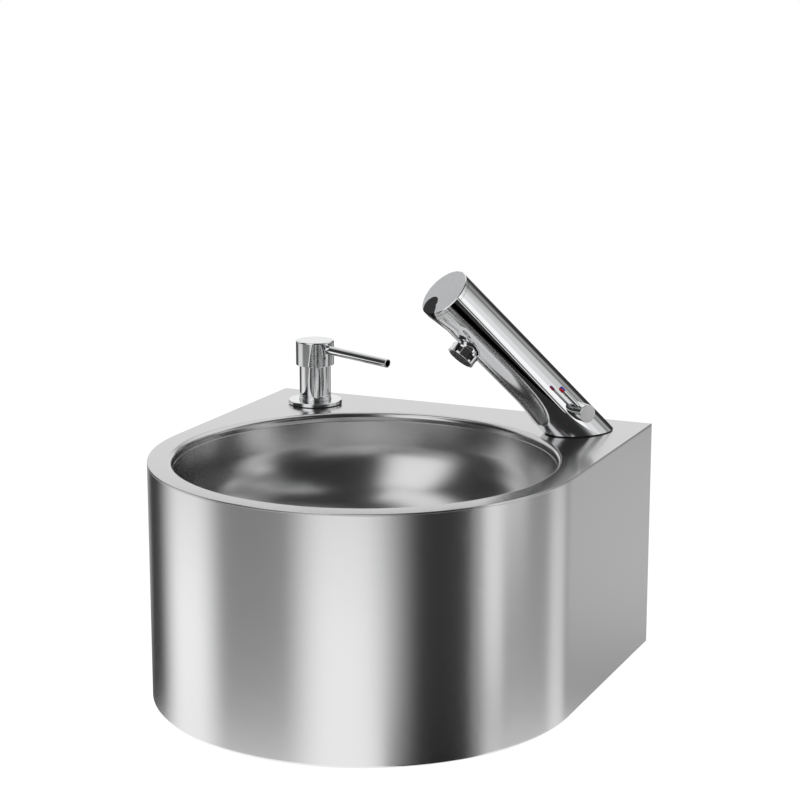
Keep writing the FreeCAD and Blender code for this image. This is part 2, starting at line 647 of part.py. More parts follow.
def slip_seals():
    """Soft rings at the mouths of the three pipe sockets."""
    seals = []
    for mouth, way in socket_places():
        start = Vector(0, mouth, PIPE_Z)
        end = Vector(0, mouth + way * SEAL_L, PIPE_Z)
        seals.append(pipe(SOCKET_R - SEAL_FIT, PIPE_R, start, end))
    return Part.makeCompound(seals)


def slip_nuts():
    """Ribbed nuts that press the seals onto the pipes."""
    nuts = []
    for mouth, way in socket_places():
        outer_end = mouth + way * (SEAL_L + NUT_LIP)
        start = Vector(0, outer_end - way * NUT_L, PIPE_Z)
        end = Vector(0, outer_end, PIPE_Z)
        nut = bar(NUT_R - NUT_RIB_H, start, end)
        rib = block(-NUT_RIB_H, NUT_RIB_H, min(start.y, end.y), max(start.y, end.y),
                    NUT_R - 2 * NUT_RIB_H, NUT_R)
        ribs = [shifted(r, z=PIPE_Z) for r in around(NUT_RIBS, rib, axis=Y_AXIS)]
        nut = nut.multiFuse(ribs)
        thread = bar(SOCKET_R, start - Vector(0, way, 0), Vector(0, mouth + way * SEAL_L, PIPE_Z))
        way_through = bar(PIPE_R + PIPE_FIT, start, end + Vector(0, way, 0))
        nuts.append(nut.cut(thread).cut(way_through))
    return Part.makeCompound(nuts)


# ---------------------------------------------------------------- tap body and foot
# In the tap's frame +Z runs along its axis, +X to the lever and +Y to its upper side.
def below_foot(rise):
    """Everything lower than a height above the deck, in the tap's frame."""
    world = block(-4 * TAP_R, 4 * TAP_R, -4 * TAP_R, 4 * TAP_R, -6 * TAP_R, rise)
    return moved(world, AT_TAP.inverse().multiply(AT_FOOT))


def upright(shape):
    """A shape drawn upright on the foot's centre, in the tap's frame."""
    return moved(shape, AT_TAP.inverse().multiply(AT_FOOT))


def underside_cutter():
    """The long crowned cut along the underside, with a round run-out below and a slope above."""
    side = TAP_R + 1
    low = -2 * TAP_R
    centre_y = CROWN_R - CROWN_LOW
    edge_y = centre_y - math.sqrt(CROWN_R ** 2 - side ** 2)
    a, b = Vector(-side, edge_y, 0), Vector(side, edge_y, 0)
    c, d = Vector(side, low, 0), Vector(-side, low, 0)
    edges = [Part.Arc(a, Vector(0, -CROWN_LOW, 0), b).toShape(), Part.makeLine(b, c),
             Part.makeLine(c, d), Part.makeLine(d, a)]
    section = Part.Face(Part.Wire(edges))
    straight = moved(section, Placement(Vector(0, 0, FACET_LOW), Rotation()))
    upper = moved(section, Placement(Vector(0, 0, FACET_HIGH), Rotation()))
    pivot = Vector(0, -CROWN_LOW - FACET_RUNOUT_R, FACET_LOW)
    swing = math.degrees(math.acos(1 - 2 * (TAP_R - CROWN_LOW) / FACET_RUNOUT_R))
    runout = straight.revolve(pivot, X_AXIS, -swing)
    slope = upper.extrude(Vector(0, 2 * (CROWN_LOW - TAP_R), 2 * FACET_SLOPE_L))
    return straight.extrude(Vector(0, 0, FACET_HIGH - FACET_LOW)).fuse([runout, slope])


def dry_chamber(clearance=0.0, z0=CAVITY_LOW, z1=CAP_BACK):
    """Space inside the tap above the water parts, drawn in by a clearance."""
    r = CAVITY_R - clearance
    room = rod(r, z0, z1)
    floor_end = CHAMBER_STEP
    if z0 < floor_end:
        below = block(-TAP_R, TAP_R, -2 * TAP_R, -CAVITY_FLOOR + clearance, z0 - 1, floor_end)
        room = room.cut(below)
    return room


def window_zone():
    """Outline of the sensor window: a round head on the end face and a tail on the underside."""
    head = rod(WINDOW_R, CAP_BACK, TAP_L + 1, 0, -WINDOW_OFF)
    tip = CHAMBER_STEP + WINDOW_TAIL_GAP
    half = WINDOW_TAIL_W / 2
    wide = WINDOW_R - 1
    y = -2 * TAP_R
    a, b = Vector(wide, y, TAP_L + 1), Vector(half, y, tip + half)
    c, d = Vector(-half, y, tip + half), Vector(-wide, y, TAP_L + 1)
    edges = [Part.makeLine(a, b), Part.Arc(b, Vector(0, y, tip), c).toShape(),
             Part.makeLine(c, d), Part.makeLine(d, a)]
    tail = Part.Face(Part.Wire(edges)).extrude(Vector(0, 2 * TAP_R - WINDOW_OFF, 0))
    return head.fuse(tail)


def lever_axis_bar(radius, x0, x1):
    """Cylinder on the lever's axis."""
    return bar(radius, Vector(x0, LEVER_OFF, LEVER_ALONG), Vector(x1, LEVER_OFF, LEVER_ALONG))


def tail_spots():
    """Centres of the hot and cold tails on the foot, as x and y in the foot's frame."""
    return {"hot": (-TAIL_HALF_GAP, -TAIL_FRONT), "cold": (TAIL_HALF_GAP, -TAIL_FRONT)}


def tap_body():
    """Polished brass body: leaning cylinder with the crowned underside, the neck and its bores."""
    outer = rod(TAP_R, -2 * TAP_R, CAP_BACK).cut(underside_cutter())
    neck = bar(NECK_R, Vector(0, -CAVITY_FLOOR, OUTLET_ALONG), Vector(0, -NECK_END, OUTLET_ALONG))
    body = outer.fuse(neck).cut(below_foot(FOOT_GASKET_T))
    body = body.cut(dry_chamber(z1=CAP_BACK + 1)).cut(window_zone())
    neck_bore = bar(NECK_BORE_R, Vector(0, 0, OUTLET_ALONG), Vector(0, -NECK_END - 1, OUTLET_ALONG))
    body = body.cut(neck_bore).cut(lever_axis_bar(HUB_R + HUB_RUN, -CARTRIDGE_IN, 2 * TAP_R))
    channel = rod(TAIL_R - 2 * TAIL_WALL, LEVER_ALONG, CAVITY_LOW + 1, 0, LEVER_OFF)
    body = body.cut(channel)
    lever_height = LEVER_OFF * math.cos(math.radians(TAP_RISE)) \
        + LEVER_ALONG * math.sin(math.radians(TAP_RISE))
    for x, y in tail_spots().values():
        body = body.cut(upright(rod(TAIL_R, 0, TAIL_SOCKET, x, y)))
        body = body.cut(upright(rod(TAIL_R - 2 * TAIL_WALL, 0, lever_height, x, y)))
    return body.cut(upright(rod(STUD_R, 0, STUD_GRIP, 0, STUD_BACK)))


def foot_gasket():
    """Thin seal under the foot, a little smaller than it."""
    slice_ = rod(TAP_R - 1, -3 * TAP_R, 3 * TAP_R)
    slab = upright(block(-3 * TAP_R, 3 * TAP_R, -3 * TAP_R, 3 * TAP_R, 0, FOOT_GASKET_T))
    hole = upright(rod(TAP_HOLE_R, -1, FOOT_GASKET_T + 1))
    return slice_.common(slab).cut(hole)


def fixing_stud():
    """Threaded stud from the tap's foot down through the deck."""
    return rod(STUD_R, -STUD_DROP, STUD_GRIP, 0, STUD_BACK)


def clamp_shape(z0, z1, inset):
    """Horseshoe under the deck that leaves the tails free."""
    disc = rod(CLAMP_R - inset, z0, z1)
    slot_r = TAIL_HALF_GAP + TAIL_R + 1
    gap = rod(slot_r, z0 - 1, z1 + 1, 0, -TAIL_FRONT)
    gap = gap.fuse(block(-slot_r, slot_r, -2 * CLAMP_R, -TAIL_FRONT, z0 - 1, z1 + 1))
    gap = gap.cut(rod(STUD_R + 2, z0 - 2, z1 + 2, 0, STUD_BACK))
    return disc.cut(gap).cut(rod(STUD_R, z0 - 1, z1 + 1, 0, STUD_BACK))


RUBBER_LOW = -SHEET - CLAMP_RUBBER_T
PLATE_LOW = RUBBER_LOW - CLAMP_PLATE_T


def clamp_rubber():
    """Rubber horseshoe against the underside of the deck."""
    return clamp_shape(RUBBER_LOW, -SHEET, 1.0)


def clamp_plate():
    """Steel horseshoe that spreads the load of the nut."""
    return clamp_shape(PLATE_LOW, RUBBER_LOW, 0.0)


def stud_nut():
    """Long nut on the stud."""
    nut = hexagon(STUD_NUT_W, PLATE_LOW - STUD_NUT_H, PLATE_LOW)
    nut = nut.cut(rod(STUD_R, PLATE_LOW - STUD_NUT_H - 1, PLATE_LOW + 1))
    return shifted(nut, 0, STUD_BACK)


def supply_tail(spot, drop):
    """Straight copper tail, soldered into the foot, with a stop bead above its free end."""
    x, y = tail_spots()[spot]
    inner = TAIL_R - TAIL_WALL
    bead = tube(TAIL_R + TAIL_BEAD_H, inner, TAIL_FREE - drop, TAIL_FREE - drop + BEAD_W, x, y)
    return fused(tube(TAIL_R, inner, -drop, TAIL_SOCKET, x, y), bead)


def hot_tail():
    """Left copper tail, the longer one, for hot water."""
    return supply_tail("hot", HOT_TAIL_DROP)


def cold_tail():
    """Right copper tail, the shorter one, for cold water."""
    return supply_tail("cold", COLD_TAIL_DROP)


# ---------------------------------------------------------------- temperature lever
def mixing_cartridge():
    """Fixed mixing cartridge in the foot, on the lever's axis."""
    barrel = lever_axis_bar(HUB_R, -CARTRIDGE_IN, CARTRIDGE_IN)
    well = lever_axis_bar(SPINDLE_R + PLUNGER_RUN, CARTRIDGE_IN / 3, CARTRIDGE_IN + 1)
    waist = lever_axis_bar(HUB_R + 1, -CARTRIDGE_IN * 0.85, CARTRIDGE_IN * 0.85)
    groove = waist.cut(lever_axis_bar(HUB_R - 1.2, -CARTRIDGE_IN, CARTRIDGE_IN))
    return barrel.cut(well).cut(groove)


def cartridge_spindle():
    """Spindle that the lever turns."""
    return lever_axis_bar(SPINDLE_R, CARTRIDGE_IN / 3 + 0.3, SPINDLE_OUT)


def lever_hub():
    """Round hub with a flat satin end face."""
    hub = lever_axis_bar(HUB_R, CARTRIDGE_IN + 0.3, HUB_OUT)
    hub = hub.makeChamfer(0.4, [e for e in hub.Edges if abs(e.BoundBox.XMin - HUB_OUT) < 0.01])
    hub = hub.cut(lever_axis_bar(SPINDLE_R, 0, SPINDLE_OUT))
    hub = hub.cut(rod(LEVER_ROD_R, LEVER_ALONG + HUB_R / 2, LEVER_ALONG + 2 * HUB_R,
                      LEVER_ROD_OUT, LEVER_OFF))
    return hub.cut(hub_screw_bar())


def hub_screw_bar():
    """Space of the grub screw, on the hub's underside."""
    x = (TAP_R + SPINDLE_OUT) / 2
    return bar(1.5, Vector(x, LEVER_OFF - HUB_R, LEVER_ALONG), Vector(x, LEVER_OFF - SPINDLE_R, LEVER_ALONG))


def hub_screw():
    """Grub screw that holds the hub on the spindle, sunk a little below the surface."""
    x = (TAP_R + SPINDLE_OUT) / 2
    trim = bar(2, Vector(x, LEVER_OFF - HUB_R - 1, LEVER_ALONG),
               Vector(x, LEVER_OFF - HUB_R + 0.6, LEVER_ALONG))
    spindle = lever_axis_bar(SPINDLE_R, 0, SPINDLE_OUT)
    return hub_screw_bar().cut(trim).cut(spindle)


def lever_rod():
    """Thin round rod that the fingers push, standing up from the hub."""
    return rod(LEVER_ROD_R, LEVER_ALONG + HUB_R / 2, LEVER_ALONG + LEVER_REACH - MARK_L,
               LEVER_ROD_OUT, LEVER_OFF)


def tip_mark(side):
    """Half of the coloured tip, on one side of the rod."""
    z0 = LEVER_ALONG + LEVER_REACH - MARK_L
    whole = rod(MARK_R, z0, z0 + MARK_L, LEVER_ROD_OUT, LEVER_OFF)
    y0, y1 = sorted((LEVER_OFF, LEVER_OFF + side * 2 * MARK_R))
    keep = block(LEVER_ROD_OUT - MARK_R - 1, LEVER_ROD_OUT + MARK_R + 1, y0, y1, z0 - 1, z0 + MARK_L + 1)
    return whole.common(keep)


def hot_mark():
    """Red half of the lever's tip."""
    return tip_mark(-1)


def cold_mark():
    """Blue half of the lever's tip."""
    return tip_mark(1)


# ---------------------------------------------------------------- valve, battery and sensor
def valve_body():
    """Diaphragm valve block on the floor of the dry chamber."""
    high = math.sqrt(CAVITY_R ** 2 - VALVE_HALF_W ** 2) - PLUNGER_TRAVEL / 2
    body = block(-VALVE_HALF_W, VALVE_HALF_W, -CAVITY_FLOOR + PLUNGER_GAP, high, CAVITY_LOW, VALVE_TOP)
    body = body.cut(rod(VALVE_CHAMBER_R, VALVE_SEAT, VALVE_TOP + 1, 0, VALVE_OFF))
    body = body.cut(rod(TAIL_R - 2 * TAIL_WALL, CAVITY_LOW - 1, VALVE_SEAT + 1, 0, LEVER_OFF))
    start = Vector(0, VALVE_OFF, VALVE_ACROSS)
    body = body.cut(bar(VALVE_CHANNEL_R, start, Vector(0, -MIXED_PIPE_OFF, VALVE_ACROSS)))
    return body.cut(rod(MIXED_PIPE_R, VALVE_ACROSS, VALVE_TOP + 1, 0, -MIXED_PIPE_OFF))


def solenoid_coil():
    """Coil with its closed core tube, standing on the valve block."""
    coil = rod(COIL_R, VALVE_TOP, COIL_TOP, 0, VALVE_OFF)
    coil = coil.cut(rod(PLUNGER_R + PLUNGER_RUN, VALVE_TOP - 1, CORE_TOP, 0, VALVE_OFF))
    pocket_top = CORE_TOP + PLUNGER_TRAVEL + 2 * PLUNGER_GAP
    pocket = rod(PLUNGER_R / 2 + PLUNGER_GAP, CORE_TOP - 1, pocket_top, 0, VALVE_OFF)
    return coil.cut(pocket)


def solenoid_plunger():
    """Sliding plunger that opens the valve, with its sealing head."""
    seat = VALVE_SEAT + PLUNGER_GAP
    head = rod(PLUNGER_R + PLUNGER_LIP, seat, seat + PLUNGER_HEAD_H, 0, VALVE_OFF)
    stem = rod(PLUNGER_R, seat, PLUNGER_TOP, 0, VALVE_OFF)
    well_low = PLUNGER_TOP - SPRING_WELL
    well = rod(PLUNGER_R / 2 + SPRING_WELL_FIT, well_low, PLUNGER_TOP + 1, 0, VALVE_OFF)
    return fused(head, stem).cut(well)


def plunger_spring():
    """Small closing spring in the plunger's well, drawn as a plain sleeve."""
    inner = PLUNGER_R / 2 - PLUNGER_SPRING_T
    return tube(PLUNGER_R / 2, inner, PLUNGER_TOP - SPRING_WELL, CORE_TOP + PLUNGER_GAP, 0, VALVE_OFF)


def mixed_pipe_path(radius):
    """Solid along the mixed water pipe, from the valve block to the neck."""
    corner = Vector(0, -MIXED_PIPE_OFF, OUTLET_ALONG)
    along = bar(radius, Vector(0, -MIXED_PIPE_OFF, VALVE_ACROSS), corner)
    down = bar(radius, corner, Vector(0, -NECK_END + PIPE_SLEEVE_IN, OUTLET_ALONG))
    return fused(along, down, Part.makeSphere(radius, corner))


def outlet_pipe():
    """Mixed water pipe from the valve to the outlet."""
    inner = MIXED_PIPE_R - MIXED_PIPE_WALL
    bore = mixed_pipe_path(inner)
    open_low = rod(inner, VALVE_ACROSS - 1, VALVE_ACROSS + 1, 0, -MIXED_PIPE_OFF)
    sleeve_end = -NECK_END + PIPE_SLEEVE_IN
    end, mouth = Vector(0, sleeve_end, OUTLET_ALONG), Vector(0, -NECK_END, OUTLET_ALONG)
    open_end = bar(inner, Vector(0, sleeve_end + PIPE_SLEEVE_IN, OUTLET_ALONG), mouth)
    sleeve = bar(NECK_BORE_R, Vector(0, sleeve_end + PIPE_SLEEVE_L, OUTLET_ALONG), end)
    return fused(mixed_pipe_path(MIXED_PIPE_R), sleeve).cut(bore).cut(open_low).cut(open_end)


def battery_box(z0, z1):
    """Block with the battery's cross-section."""
    half_w, half_d = BATTERY_W / 2, BATTERY_D / 2
    return block(-half_w, half_w, BATTERY_OFF - half_d, BATTERY_OFF + half_d, z0, z1)


def battery():
    """Lithium battery pack."""
    pack = battery_box(BATTERY_LOW, BATTERY_LOW + BATTERY_H)
    upright_edges = [e for e in pack.Edges if abs(e.tangentAt(e.FirstParameter).z) > 0.9]
    return pack.makeFillet(BATTERY_ROUND, upright_edges)


def battery_cradle():
    """Plastic insert that holds the battery in the body."""
    low = COIL_TOP + PLUNGER_TRAVEL / 2
    top = BATTERY_LOW + BATTERY_H
    insert = dry_chamber(CRADLE_FIT, low, top - CRADLE_RIM)
    insert = insert.cut(battery_box(BATTERY_LOW, top))
    return insert.cut(rod(MIXED_PIPE_R + CRADLE_FIT, low - 1, top, 0, -MIXED_PIPE_OFF))


def sensor_module():
    """Infrared sensor block behind the window, against the end cap."""
    floor_y = -math.sqrt((CAVITY_R - MODULE_FIT) ** 2 - MODULE_HALF ** 2)
    return block(-MODULE_HALF, MODULE_HALF, floor_y, 0, CAP_BACK - MODULE_L, CAP_BACK)


# chips as shares of the board: left, right, low, high, and height as a share of its thickness
BOARD_CHIPS = [(-0.4, 0.4, 0.38, 0.62, 1.25), (-0.73, -0.27, 0.14, 0.27, 0.9), (0.2, 0.67, 0.78, 0.9, 1.9)]


def circuit_board():
    """Control board on the sensor block, reaching back to the battery."""
    low = BATTERY_LOW + BATTERY_H
    length = CAP_BACK - CAP_PLUG - BOARD_T - low
    board = block(-BOARD_HALF, BOARD_HALF, 0, BOARD_T, low, low + length)
    chips = []
    for x0, x1, z0, z1, height in BOARD_CHIPS:
        chips.append(block(x0 * BOARD_HALF, x1 * BOARD_HALF, BOARD_T, (1 + height) * BOARD_T,
                           low + z0 * length, low + z1 * length))
    return fused(board, *chips)


def sensor_window():
    """Dark window that wraps from the end face round to the underside."""
    zone = window_zone()
    head = zone.common(rod(TAP_R, CAP_BACK, TAP_L))
    wall = rod(TAP_R, CHAMBER_STEP, CAP_BACK).cut(rod(CAVITY_R, CHAMBER_STEP - 1, CAP_BACK))
    wall = wall.cut(underside_cutter())
    return head.fuse(wall.common(zone)).removeSplitter()


def end_cap():
    """Flat satin disc that closes the tap, with a spigot inside the body."""
    disc = rod(TAP_R, CAP_BACK, TAP_L)
    disc = disc.makeChamfer(CAP_CHAMFER, [e for e in disc.Edges if abs(e.BoundBox.ZMin - TAP_L) < 0.01])
    outer = CAVITY_R - CAP_SPIGOT_FIT
    spigot = tube(outer, outer - CAP_SPIGOT_T, CAP_BACK - CAP_PLUG, CAP_BACK)
    half = MODULE_HALF + MODULE_FIT
    module_way = block(-half, half, -2 * TAP_R, MODULE_FIT, CAP_BACK - 2 * CAP_PLUG, CAP_BACK)
    return disc.fuse(spigot.cut(module_way)).cut(window_zone())


# ---------------------------------------------------------------- aerator
def on_outlet(shape):
    """Puts a shape drawn along +Z onto the outlet, pointing away from the underside."""
    turned_down = Placement(Vector(0, 0, OUTLET_ALONG), Rotation(X_AXIS, 90))
    return moved(shape, turned_down)


def aerator_ring():
    """Polished ring round the insert, with slots for the key."""
    roof_low = AERATOR_TOP + AERATOR_ROOF_T
    ring = tube(AERATOR_R, INSERT_R, roof_low, AERATOR_END)
    roof = tube(AERATOR_R, NECK_R, AERATOR_TOP, roof_low)
    ring = fused(ring, roof)
    rims = [e for e in ring.Edges if abs(e.BoundBox.XMax - AERATOR_R) < 0.01
            and abs(e.BoundBox.ZLength) < 0.01]
    ring = ring.makeFillet(AERATOR_ROUND, rims)
    low, high = AERATOR_TOP + 2, AERATOR_END - 2
    slot = block(INSERT_R - 0.5, AERATOR_R + 1, -AERATOR_SLOT_W / 2, AERATOR_SLOT_W / 2, low, high)
    return on_outlet(ring.cut(Part.makeCompound(around(AERATOR_SLOTS, slot))))


def aerator_insert():
    """Black insert screwed on the neck, with the spray holes."""
    top = AERATOR_TOP + AERATOR_ROOF_T
    low = NECK_END + 1
    cup = rod(INSERT_R, top, AERATOR_END + INSERT_PROUD).cut(rod(NECK_R, top - 1, low))
    holes = [rod(SPRAY_HOLE_R, low - 1, AERATOR_END + 1)]
    for ring_r, count in ((SPRAY_RING_R, 6), (2 * SPRAY_RING_R, 12)):
        holes.extend(around(count, rod(SPRAY_HOLE_R, low - 1, AERATOR_END + 1, ring_r)))
    return on_outlet(cup.cut(Part.makeCompound(holes)))


def aerator_washer():
    """Flat seal between the neck and the insert."""
    return on_outlet(tube(NECK_R, NECK_BORE_R, NECK_END, NECK_END + 1))


# ---------------------------------------------------------------- soap pump
PUMP_GASKET_T = 0.8
COLUMN_FLOOR = COLLAR_TOP + 3.0
CYLINDER_SEAT = COLUMN_FLOOR + 1.5


def soap_gasket():
    """Thin seal under the pump's flange."""
    return tube(FLANGE_R - 1, SHANK_R + PUMP_HOLE_FIT, 0, PUMP_GASKET_T)


def soap_flange():
    """Round cover plate with a low collar."""
    plate = rod(FLANGE_R, PUMP_GASKET_T, PUMP_GASKET_T + FLANGE_T)
    top_edge = [e for e in plate.Edges if abs(e.BoundBox.ZMin - PUMP_GASKET_T - FLANGE_T) < 0.01]
    plate = plate.makeFillet(1.2, top_edge)
    collar = rod(COLLAR_R, PUMP_GASKET_T, COLLAR_TOP)
    collar = collar.makeFillet(0.8, [e for e in collar.Edges if abs(e.BoundBox.ZMin - COLLAR_TOP) < 0.01])
    return fused(plate, collar).cut(rod(SHANK_R, -1, COLLAR_TOP + 1))


def soap_column():
    """Turned column above the deck with its threaded shank below."""
    column = rod(COLUMN_R, COLLAR_TOP, COLUMN_TOP)
    column = column.cut(rod(COLUMN_R - COLUMN_WALL, COLUMN_FLOOR, COLUMN_TOP + 1))
    shank = rod(SHANK_R, -SHANK_DROP, COLLAR_TOP)
    return fused(column, shank).cut(rod(SHANK_R - SHANK_WALL, -SHANK_DROP - 1, COLUMN_FLOOR + 1))


def guide_bush():
    """Plastic bush in the column's mouth that guides the stem."""
    return tube(COLUMN_R - COLUMN_WALL, STEM_R + STEM_RUN, COLUMN_TOP - 5.5, COLUMN_TOP - 0.2)


def soap_head():
    """Push button over the column, with the socket of the spout."""
    head = rod(HEAD_R, HEAD_LOW, HEAD_TOP)
    head = head.makeFillet(HEAD_ROUND, [e for e in head.Edges if abs(e.BoundBox.ZMin - HEAD_TOP) < 0.01])
    ceiling = COLUMN_TOP + PRESS + 0.4
    head = head.cut(rod(COLUMN_R + HEAD_FIT, HEAD_LOW - 1, ceiling))
    head = head.cut(rod(STEM_R + STEM_RUN, ceiling - 1, STEM_TOP + STEM_RUN))
    return head.cut(spout_bar(SPOUT_R, STEM_R)).cut(rod(STEM_BORE_R, ceiling, SPOUT_Z))


def spout_point(reach):
    """Point on the spout's axis at a distance from the pump's axis."""
    return Vector(reach, 0, SPOUT_Z - reach * math.tan(math.radians(SPOUT_FALL)))


def spout_bar(radius, start):
    """Cylinder along the spout's axis."""
    return bar(radius, spout_point(start), spout_point(SPOUT_REACH))


def soap_spout():
    """Straight thin spout out over the bowl."""
    start = STEM_R + 1
    outer = spout_bar(SPOUT_R, start)
    outer = outer.makeFillet(0.4, [outer.Edges[0]])
    bore = bar(SPOUT_R - SPOUT_WALL, spout_point(start - 2), spout_point(SPOUT_REACH + 2))
    return outer.cut(bore)


def pump_stem():
    """Hollow stem from the piston up into the head, with a shoulder for the spring."""
    stem = rod(STEM_R, STEM_LOW, STEM_TOP)
    shoulder = rod(SPRING_R + SPRING_WIRE_R, SPRING_TOP, SPRING_TOP + 2)
    return fused(stem, shoulder).cut(rod(STEM_BORE_R, STEM_LOW - 1, HEAD_TOP))


def return_spring():
    """Coil spring that lifts the head."""
    low = CYLINDER_SEAT + SPRING_WIRE_R
    high = SPRING_TOP - SPRING_WIRE_R
    helix = Part.makeHelix((high - low) / SPRING_TURNS, high - low, SPRING_R)
    circle = Part.Wire(Part.makeCircle(SPRING_WIRE_R, Vector(SPRING_R, 0, 0), Y_AXIS))
    wire = Part.Wire(helix)
    coil = wire.makePipeShell([circle], True, True)
    return shifted(coil, z=low)


def pump_piston():
    """Piston on the stem, running in the cylinder."""
    high = STEM_LOW + PISTON_H
    body = rod(PISTON_R, STEM_LOW, high).cut(rod(STEM_R, STEM_LOW - 1, high + 1))
    middle = (STEM_LOW + high) / 2
    groove = tube(PISTON_R + 1, PISTON_R - 1, middle - 2, middle + 2)
    return body.cut(groove)


def pump_cylinder():
    """Pump cylinder hung in the shank, with a nipple for the dip tube."""
    body = rod(CYLINDER_R, CYLINDER_LOW, CYLINDER_SEAT)
    rim = rod(COLUMN_R - COLUMN_WALL - 0.3, COLUMN_FLOOR, CYLINDER_SEAT)
    nipple = rod(DIP_R - 1, CYLINDER_LOW - NIPPLE_L, CYLINDER_LOW)
    solid = fused(body, rim, nipple)
    solid = solid.cut(rod(CYLINDER_BORE_R, CYLINDER_LOW + 2, CYLINDER_SEAT + 1))
    return solid.cut(rod(NIPPLE_BORE_R, CYLINDER_LOW - NIPPLE_L - 1, CYLINDER_LOW + 3))


def dip_tube():
    """Straight tube down to the bottom of the bottle."""
    return tube(DIP_R, DIP_R - 1, DIP_LOW, CYLINDER_LOW)


def soap_washer():
    """Rubber washer under the deck."""
    return tube(FLANGE_R - 4, SHANK_R, -SHEET - PUMP_WASHER_T, -SHEET)


def soap_nut():
    """Plastic nut that clamps the pump to the deck."""
    top = -SHEET - PUMP_WASHER_T
    return hexagon(PUMP_NUT_W, top - PUMP_NUT_H, top).cut(rod(SHANK_R, top - PUMP_NUT_H - 1, top + 1))


def soap_bottle():
    """Soap bottle screwed onto the shank from below."""
    neck = SHANK_R + BOTTLE_WALL
    outer = turned([(0, BOTTLE_LOW), (BOTTLE_R, BOTTLE_LOW), (BOTTLE_R, BOTTLE_SHOULDER),
                    (neck + 1, -SHANK_DROP - 4), (neck + 1, BOTTLE_NECK_TOP), (0, BOTTLE_NECK_TOP)])
    corners = [e for e in outer.Edges if abs(e.BoundBox.XMax - BOTTLE_R) < 0.01
               and e.BoundBox.ZLength < 0.01]
    outer = outer.makeFillet(6, corners)
    wide = BOTTLE_R - BOTTLE_WALL
    inner = turned([(0, BOTTLE_LOW + BOTTLE_WALL), (wide, BOTTLE_LOW + BOTTLE_WALL),
                    (wide, BOTTLE_SHOULDER), (SHANK_R, -SHANK_DROP - 4), (SHANK_R, BOTTLE_NECK_TOP + 1),
                    (0, BOTTLE_NECK_TOP + 1)])
    corners = [e for e in inner.Edges if abs(e.BoundBox.XMax - wide) < 0.01
               and e.BoundBox.ZLength < 0.01]
    return outer.cut(inner.makeFillet(5, corners))


# ---------------------------------------------------------------- all sub-parts, each in its frame
SUB_PARTS = [
    (HERE, [deck_plate, apron, back_plate, mounting_strips, waste_pipe, trap_head, trap_cup,
            cup_seal, slip_nuts, slip_seals, wall_tube]),
    (AT_BOWL, [bowl, strainer_plate, strainer_screw, upper_gasket, lower_gasket, waste_body]),
    (AT_TAP, [tap_body, foot_gasket, mixing_cartridge, cartridge_spindle, lever_hub, hub_screw,
              lever_rod, hot_mark, cold_mark, valve_body, solenoid_coil, solenoid_plunger,
              plunger_spring, outlet_pipe, battery, battery_cradle, sensor_module, circuit_board,
              sensor_window, end_cap, aerator_ring, aerator_insert, aerator_washer]),
    (AT_FOOT, [fixing_stud, clamp_rubber, clamp_plate, stud_nut, hot_tail, cold_tail]),
    (AT_PUMP, [soap_gasket, soap_flange, soap_column, guide_bush, pump_stem, return_spring,
               pump_piston, pump_cylinder, dip_tube, soap_washer, soap_nut, soap_bottle]),
    (AT_HEAD, [soap_head, soap_spout]),
]

os.makedirs("parts", exist_ok=True)
for frame, makers in SUB_PARTS:
    for maker in makers:
        shape = moved(maker(), frame)
        shape.exportStep("parts/" + maker.__name__ + ".step")
        print(maker.__name__, shape.isValid(), len(shape.Solids), round(shape.Volume, 1))
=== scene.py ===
"""Looks of the wall-hung stainless steel hand wash basin with its sensor tap and soap pump.

Lengths below are millimetres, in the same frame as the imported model; meshes are made in metres.
"""
import math

import bpy
import bmesh
import numpy as np
from mathutils import Matrix, Vector


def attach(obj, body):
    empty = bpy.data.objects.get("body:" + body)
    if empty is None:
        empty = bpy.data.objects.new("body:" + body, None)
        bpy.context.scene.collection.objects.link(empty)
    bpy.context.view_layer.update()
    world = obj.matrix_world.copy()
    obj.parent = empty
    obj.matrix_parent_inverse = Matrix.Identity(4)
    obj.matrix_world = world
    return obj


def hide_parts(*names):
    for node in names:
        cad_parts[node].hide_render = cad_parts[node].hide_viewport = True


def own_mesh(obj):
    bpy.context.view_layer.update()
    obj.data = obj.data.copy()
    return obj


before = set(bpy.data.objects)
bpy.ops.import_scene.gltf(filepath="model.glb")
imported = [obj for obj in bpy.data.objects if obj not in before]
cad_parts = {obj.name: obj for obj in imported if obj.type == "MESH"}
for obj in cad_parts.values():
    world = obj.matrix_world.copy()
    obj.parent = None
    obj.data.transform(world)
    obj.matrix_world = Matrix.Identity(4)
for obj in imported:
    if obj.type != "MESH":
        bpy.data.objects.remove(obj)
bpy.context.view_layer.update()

MM = 0.001
AXIS = 0.001            # radius that closes a turned profile at its axis

# ---------------------------------------------------------------- sizes, as in the part's source
DECK = 110.0            # deck surface
BASE = -120.0           # lower edge of the apron
FRONT_R = 205.0         # apron's front arc
ARC_Y = -234.0          # centre of that arc
BOWL_Y = -237.0         # bowl's axis
BOWL_R = 180.0
SHEET = 1.5
LIP_R = 5.0
LIP_DROP = 8.5
RETURN = 14.0           # flange along the apron's lower edge
TAP_X, TAP_Y = 149.0, -58.5
TAP_HEADING, TAP_RISE = math.radians(233.8), math.radians(44.1)
TAP_R = 26.0
TAP_HOLE_R = 17.5       # hole in the deck
TAP_BACK, TAP_END = 213.0, 217.0    # end cap's seam and end face, along the tap's axis
WINDOW_TIP = 187.0      # tip of the window's tail, along the tap's axis
FACET_D = 14.5          # tap's axis to the long edges of the crowned cut along its underside
CROWN_D = 22.9          # and to the middle of that cut
FACET_LOW, RUNOUT_R = 80.0, 220.0       # the cut runs out downwards from here, on this radius
CROWN_HIGH, CROWN_OUT = 186.0, 211.0    # and upwards on a slope, from and to here
OUTLET_ALONG = 159.0    # aerator, along the tap's axis
